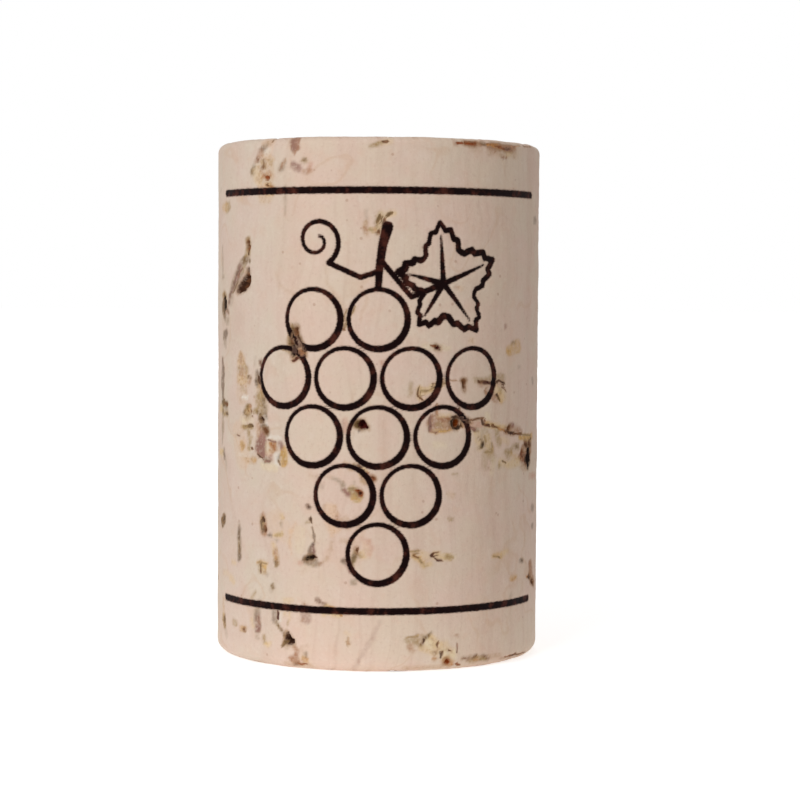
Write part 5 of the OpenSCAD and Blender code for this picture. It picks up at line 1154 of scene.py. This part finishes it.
def bare_skin(n):
    """Pale cork clouded pink and cream, streaked by its yearly layers, with faint contour lines,
    grain and specks, with a painted cool cast on the side facing the key lamp and painted warm
    shade on a belt on the side away from it."""
    waver = n.math("MULTIPLY", n.math("SUBTRACT", n.noise(9.0, 2.0), 0.5), 2.2 * MM)
    layer = n.math("ADD", n.vector("DOT_PRODUCT", n.place, tuple(BARK)), waver)
    height = n.vector("DOT_PRODUCT", n.place, (0.0, 0.0, 1.0))
    lay = n.add("ShaderNodeCombineXYZ")
    n.put(lay.inputs[0], layer)
    n.put(lay.inputs[2], n.math("MULTIPLY", height, 0.06))
    streak = n.noise(0.32, 3.0, lay.outputs[0], 0.6)
    broad = n.noise(1.5, 2.0, lay.outputs[0], 0.5)
    uneven = n.math("MULTIPLY", n.math("SUBTRACT", n.noise(5.0, 1.0, lay.outputs[0]), 0.5), 4.0 * MM)
    phase = n.math("FRACT", n.math("DIVIDE", n.math("ADD", layer, uneven), 2.7 * MM))
    late = n.math("MULTIPLY", n.span(phase, 0.82, 0.97), n.span(phase, 1.0, 0.97))
    end_face = n.kept("end_face")
    # Painted light: this mask covers the side facing the key lamp, which is tinted cooler below as painted
    # lamp light.
    cool_lit_cast = n.span(layer, 9.0 * MM, 11.6 * MM)
    # Painted shade: this mask is a belt on the side away from the key lamp, darkened and warmed below as
    # painted shade.
    warm_shade_belt = n.math("MULTIPLY", n.span(layer, 0.5 * MM, -2.5 * MM), n.span(layer, -7.4 * MM, -5.0 * MM))

    cloud = n.noise(4.2, 3.0, None, 0.55)
    blotch = n.noise(1.1, 3.0, None, 0.55)
    grain = n.noise(0.22, 2.0, None, 0.6)
    skin = n.mix(n.span(cloud, 0.36, 0.64), linear("dbc0af"), linear("d9c4b0"))
    skin = n.mix(n.span(blotch, 0.52, 0.72, 0.0, 0.4), skin, linear("d9b9a4"))
    skin = n.mix(n.span(blotch, 0.46, 0.3, 0.0, 0.35), skin, linear("decaba"))
    # Painted cool lamp light on the side facing the key lamp.
    skin = n.mix(cool_lit_cast, skin, (0.94, 0.98, 1.0), "MULTIPLY")
    # Painted warm shade on the belt away from the key lamp.
    skin = n.mix(warm_shade_belt, skin, (0.975, 0.96, 0.945), "MULTIPLY")
    share = n.math("ADD", 0.18, n.math("MULTIPLY", end_face, 0.2))
    skin = n.mix(n.math("MULTIPLY", n.span(streak, 0.5, 0.72), share), skin, linear("bf9f8c"))
    skin = n.mix(n.span(broad, 0.5, 0.75, 0.0, 0.22), skin, linear("c8a793"))
    share = n.math("ADD", 0.06, n.math("MULTIPLY", end_face, 0.34))
    skin = n.mix(n.math("MULTIPLY", late, share), skin, linear("ab8468"))
    contour = n.span(n.math("ABSOLUTE", n.math("SUBTRACT", n.noise(3.6, 1.5), 0.52)), 0.03, 0.004)
    contour = n.math("MULTIPLY", contour, n.span(n.noise(6.0, 1.0), 0.5, 0.62, 0.0, 0.2))
    skin = n.mix(contour, skin, linear("c49a72"))
    skin = n.mix(n.span(grain, 0.56, 0.74, 0.0, 0.2), skin, linear("bb9784"))
    skin = n.mix(n.span(grain, 0.44, 0.28, 0.0, 0.2), skin, linear("e6d6c6"))
    speck, pick = n.cells(1.1, n.place)
    speck = n.math("MULTIPLY", n.span(speck, 0.13, 0.07), n.span(pick, 0.7, 0.75))
    return n.mix(n.math("MULTIPLY", speck, 0.4), skin, linear("a67b62")), grain


def soft_patches(n, skin):
    """Tinted patches whose crumbly tones break into pale granules with short brown smudges between
    them."""
    crumb = n.noise(0.28, 3.0, None, 0.65)
    strength = n.kept("strength")
    crumble = n.kept("crumble")
    soft = n.math("MULTIPLY", strength, n.span(crumb, 0.28, 0.6, 0.6, 1.15), clamp=True)
    skin = n.mix(soft, skin, n.kept("tint", colour=True))
    where = n.strayed(0.35, 0.1)
    _, pick = n.cells(0.36, where)
    pale = n.math("MULTIPLY", crumble, n.span(pick, 0.35, 1.0, 0.0, 0.4))
    skin = n.mix(pale, skin, linear("e4ceb0"))
    net = n.span(n.cell_edges(0.36, where), 0.14, 0.0)
    net = n.math("MULTIPLY", net, n.span(crumb, 0.42, 0.6, 0.0, 0.25))
    skin = n.mix(n.math("MULTIPLY", net, crumble), skin, linear("8b5f3c"))
    dots = n.span(n.noise(0.26, 1.0, None, 0.5), 0.5, 0.68, 0.0, 0.8)
    skin = n.mix(n.math("MULTIPLY", dots, crumble), skin, linear("a07348"))
    return skin, crumb, crumble


def grained(n, crumb, tone):
    """A mark's tone, paler and darker by turns from grain to grain."""
    tone = n.mix(n.span(crumb, 0.52, 0.66, 0.0, 0.6), tone, (1.7, 1.6, 1.5), "MULTIPLY")
    return n.mix(n.span(crumb, 0.48, 0.34, 0.0, 0.6), tone, (0.5, 0.43, 0.4), "MULTIPLY")


def deep_marks(n, skin, crumb):
    """Pits with a brown surround, a grained floor and a darker middle, partly their own dark floor and
    partly painted shade in the recess, and thin cracks. Also gives where they are."""
    ragged = n.math("MULTIPLY", n.math("SUBTRACT", n.noise(0.2, 2.0), 0.5), 0.16)
    gap = n.math("ADD", n.kept("gap"), ragged)
    skin = n.mix(n.span(gap, 0.3, 0.0, 0.0, 0.55), skin, linear("a07c5a"))
    tone = grained(n, crumb, n.kept("tone", colour=True))
    # Darker towards the middle where the pit sinks deepest: partly the pit's own dark floor, partly painted
    # shade in the recess.
    tone = n.mix(n.span(gap, -0.05, -0.24, 0.0, 0.6), tone, (0.42, 0.34, 0.32), "MULTIPLY")
    pit = n.span(gap, 0.1, -0.08)
    skin = n.mix(pit, skin, tone)
    away = n.math("ABSOLUTE", n.math("ADD", n.kept("line"), n.math("MULTIPLY", ragged, 0.3)))
    away = n.math("SUBTRACT", away, n.kept("line_half"))
    skin = n.mix(n.span(away, 0.2, 0.0, 0.0, 0.4), skin, linear("ad8a68"))
    line = n.math("MULTIPLY", n.span(away, 0.09, -0.05), n.span(crumb, 0.3, 0.5, 1.0, 0.85))
    skin = n.mix(line, skin, grained(n, crumb, n.kept("line_tone", colour=True)))
    return skin, pit, line


def branded(n, skin):
    """The branded lines: near black, browner where the iron pressed less, and missing where a mark
    was too deep for the iron to reach."""
    worn = n.noise(0.9, 3.0, None, 0.6)
    flat = n.vector("MULTIPLY", n.place, (0.5, 0.5, 2.0))
    fray = n.math("MULTIPLY", n.math("SUBTRACT", n.noise(0.14, 2.0, flat), 0.5), 0.13)
    ink = n.math("ADD", n.kept("ink"), fray)
    skin = n.mix(n.span(ink, 0.12, 0.0, 0.0, 0.35), skin, linear("987566"))
    cover = n.math("MULTIPLY", n.span(ink, 0.055, -0.05), n.span(n.kept("sunk"), 0.16, 0.08))
    char = n.mix(n.span(worn, 0.48, 0.74), linear("120303"), linear("4a241b"))
    return n.mix(cover, skin, char)


def cork_finish():
    """Bare cork with its soft patches, its pits and cracks, and the branded lines over them."""
    material = bpy.data.materials.new("natural_cork")
    material.use_nodes = True
    n = Nodes(material)
    skin, grain = bare_skin(n)
    skin, crumb, crumble = soft_patches(n, skin)
    skin, pit, line = deep_marks(n, skin, crumb)
    skin = branded(n, skin)

    fine = n.noise(0.09, 2.0, None, 0.6)
    rise = n.math("ADD", n.math("MULTIPLY", grain, 0.02 * MM), n.math("MULTIPLY", fine, 0.01 * MM))
    rise = n.math("ADD", rise, n.math("MULTIPLY", n.math("MULTIPLY", crumb, crumble), 0.12 * MM))
    rise = n.math("SUBTRACT", rise, n.math("MULTIPLY", line, 0.05 * MM))
    rise = n.math("ADD", rise, n.math("MULTIPLY", n.math("MULTIPLY", crumb, pit), 0.1 * MM))
    bump = n.add("ShaderNodeBump")
    n.put(bump.inputs["Height"], rise)
    bump.inputs["Distance"].default_value = 1.0
    bump.inputs["Strength"].default_value = 0.6
    shader = n.add("ShaderNodeBsdfPrincipled")
    n.put(shader.inputs["Base Color"], skin)
    n.put(shader.inputs["Roughness"], n.math("ADD", 0.72, n.math("MULTIPLY", grain, 0.2)))
    shader.inputs["Specular IOR Level"].default_value = 0.05
    shader.inputs["Sheen Weight"].default_value = 0.05
    shader.inputs["Sheen Roughness"].default_value = 0.5
    n.put(shader.inputs["Normal"], bump.outputs[0])
    out = n.add("ShaderNodeOutputMaterial")
    n.put(out.inputs["Surface"], shader.outputs[0])
    return material


# ---- floor, light and camera ---------------------------------------------------------------------

# Lengths are metres from here on. The floor reaches FLOOR_HALF each way from the middle. A glow lifts
# it to white where the camera sees it: NEAR_GLOW up to GLOW_FROM away, and FAR_GLOW past GLOW_TO.
FLOOR_HALF = 3.0
FLOOR_GREY = 0.8
GLOW_FROM, GLOW_TO = 0.2, 1.2
NEAR_GLOW, FAR_GLOW = 0.57, 0.64
FOOT_GLOW = 0.4
WORLD_LIGHT = 0.49
# Name, degrees right of the camera's side, degrees up, distance, side and watts of each lamp
LAMPS = (("key", -36, 22, 0.9, 0.5, 4.06), ("back", 178, 26, 0.9, 0.3, 1.2))
LENS = 101.17
CAMERA_PLACE = Vector((0, -170.54, 27.06)) * MM
CAMERA_YAW, CAMERA_PITCH, CAMERA_ROLL = 0.009867, 0.04810, 0.005714


def make_floor():
    """A wide pale floor that shows white where it is lit and keeps the stopper's shadow. Close to the
    stopper's foot it also throws a little light up, which the camera doesn't see."""
    mesh = bpy.data.meshes.new("floor")
    corners = [(x * FLOOR_HALF, y * FLOOR_HALF, 0) for x, y in ((-1, -1), (1, -1), (1, 1), (-1, 1))]
    mesh.from_pydata(corners, [], [(0, 1, 2, 3)])
    floor = bpy.data.objects.new("floor", mesh)
    bpy.context.collection.objects.link(floor)
    material = bpy.data.materials.new("pale_floor")
    material.use_nodes = True
    n = Nodes(material)
    plain = n.add("ShaderNodeBsdfDiffuse")
    plain.inputs["Color"].default_value = (FLOOR_GREY, FLOOR_GREY, FLOOR_GREY, 1)
    lift = n.add("ShaderNodeEmission")
    lift.inputs["Color"].default_value = (1, 1, 1, 1)
    path = n.add("ShaderNodeLightPath")
    seen = n.math("MAXIMUM", path.outputs["Is Camera Ray"], path.outputs["Is Glossy Ray"])
    away = n.vector("LENGTH", n.place)
    foot = n.span(away, 28 * MM, 14 * MM, 0.0, FOOT_GLOW)
    foot = n.math("MULTIPLY", foot, n.math("SUBTRACT", 1.0, seen))
    white = n.span(away, GLOW_FROM, GLOW_TO, NEAR_GLOW, FAR_GLOW)
    n.put(lift.inputs["Strength"], n.math("ADD", n.math("MULTIPLY", seen, white), foot))
    both = n.add("ShaderNodeAddShader")
    n.put(both.inputs[0], plain.outputs[0])
    n.put(both.inputs[1], lift.outputs[0])
    out = n.add("ShaderNodeOutputMaterial")
    n.put(out.inputs["Surface"], both.outputs[0])
    mesh.materials.append(material)


def make_world():
    """Even light from all round, white where the camera sees it."""
    world = bpy.data.worlds.new("studio")
    world.use_nodes = True
    bpy.context.scene.world = world
    tree = world.node_tree
    tree.nodes.clear()
    path = tree.nodes.new("ShaderNodeLightPath")
    glow = tree.nodes.new("ShaderNodeBackground")
    seen = tree.nodes.new("ShaderNodeMath")
    seen.operation = "MAXIMUM"
    tree.links.new(path.outputs["Is Camera Ray"], seen.inputs[0])
    tree.links.new(path.outputs["Is Glossy Ray"], seen.inputs[1])
    strength = tree.nodes.new("ShaderNodeMapRange")
    strength.inputs["To Min"].default_value = WORLD_LIGHT
    strength.inputs["To Max"].default_value = 1.0
    tree.links.new(seen.outputs[0], strength.inputs["Value"])
    tree.links.new(strength.outputs[0], glow.inputs["Strength"])
    glow.inputs["Color"].default_value = (1, 1, 1, 1)
    out = tree.nodes.new("ShaderNodeOutputWorld")
    tree.links.new(glow.outputs[0], out.inputs["Surface"])


def make_lamp(name, turn, lift, away, size, power):
    """A square soft lamp that faces the stopper's middle, turn degrees right of the camera's side and
    lift degrees up."""
    data = bpy.data.lights.new(name, "AREA")
    data.size = size
    data.energy = power
    lamp = bpy.data.objects.new(name, data)
    bpy.context.collection.objects.link(lamp)
    a, e = math.radians(turn), math.radians(lift)
    way = Vector((math.sin(a) * math.cos(e), -math.cos(a) * math.cos(e), math.sin(e)))
    aim = Vector((0, 0, LENGTH / 2 * MM))
    lamp.location = aim + way * away
    lamp.rotation_euler = way.to_track_quat("Z", "Y").to_euler()


def make_camera():
    """A long lens in front of the branded side, a little above the middle and looking slightly down."""
    data = bpy.data.cameras.new("camera")
    data.sensor_width = 36.0
    data.lens = LENS
    yaw, pitch, roll = CAMERA_YAW, CAMERA_PITCH, CAMERA_ROLL
    level = math.cos(pitch)
    ahead = Vector((math.sin(yaw) * level, math.cos(yaw) * level, -math.sin(pitch)))
    right = Vector((math.cos(yaw), -math.sin(yaw), 0))
    up = right.cross(ahead)
    tilted_right = right * math.cos(roll) + up * math.sin(roll)
    tilted_up = up * math.cos(roll) - right * math.sin(roll)
    camera = bpy.data.objects.new("camera", data)
    bpy.context.collection.objects.link(camera)
    turn = Matrix((tilted_right, tilted_up, -ahead)).transposed()
    camera.matrix_world = Matrix.Translation(CAMERA_PLACE) @ turn.to_4x4()
    data.clip_start = 0.01
    data.clip_end = 10
    bpy.context.scene.camera = camera


make_camera()
make_world()
make_floor()
for lamp in LAMPS:
    make_lamp(*lamp)
stopper = make_stopper()
stopper.data.materials.append(cork_finish())
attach(stopper, "root")
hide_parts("stopper")

bpy.context.scene.view_settings.view_transform = "Standard"
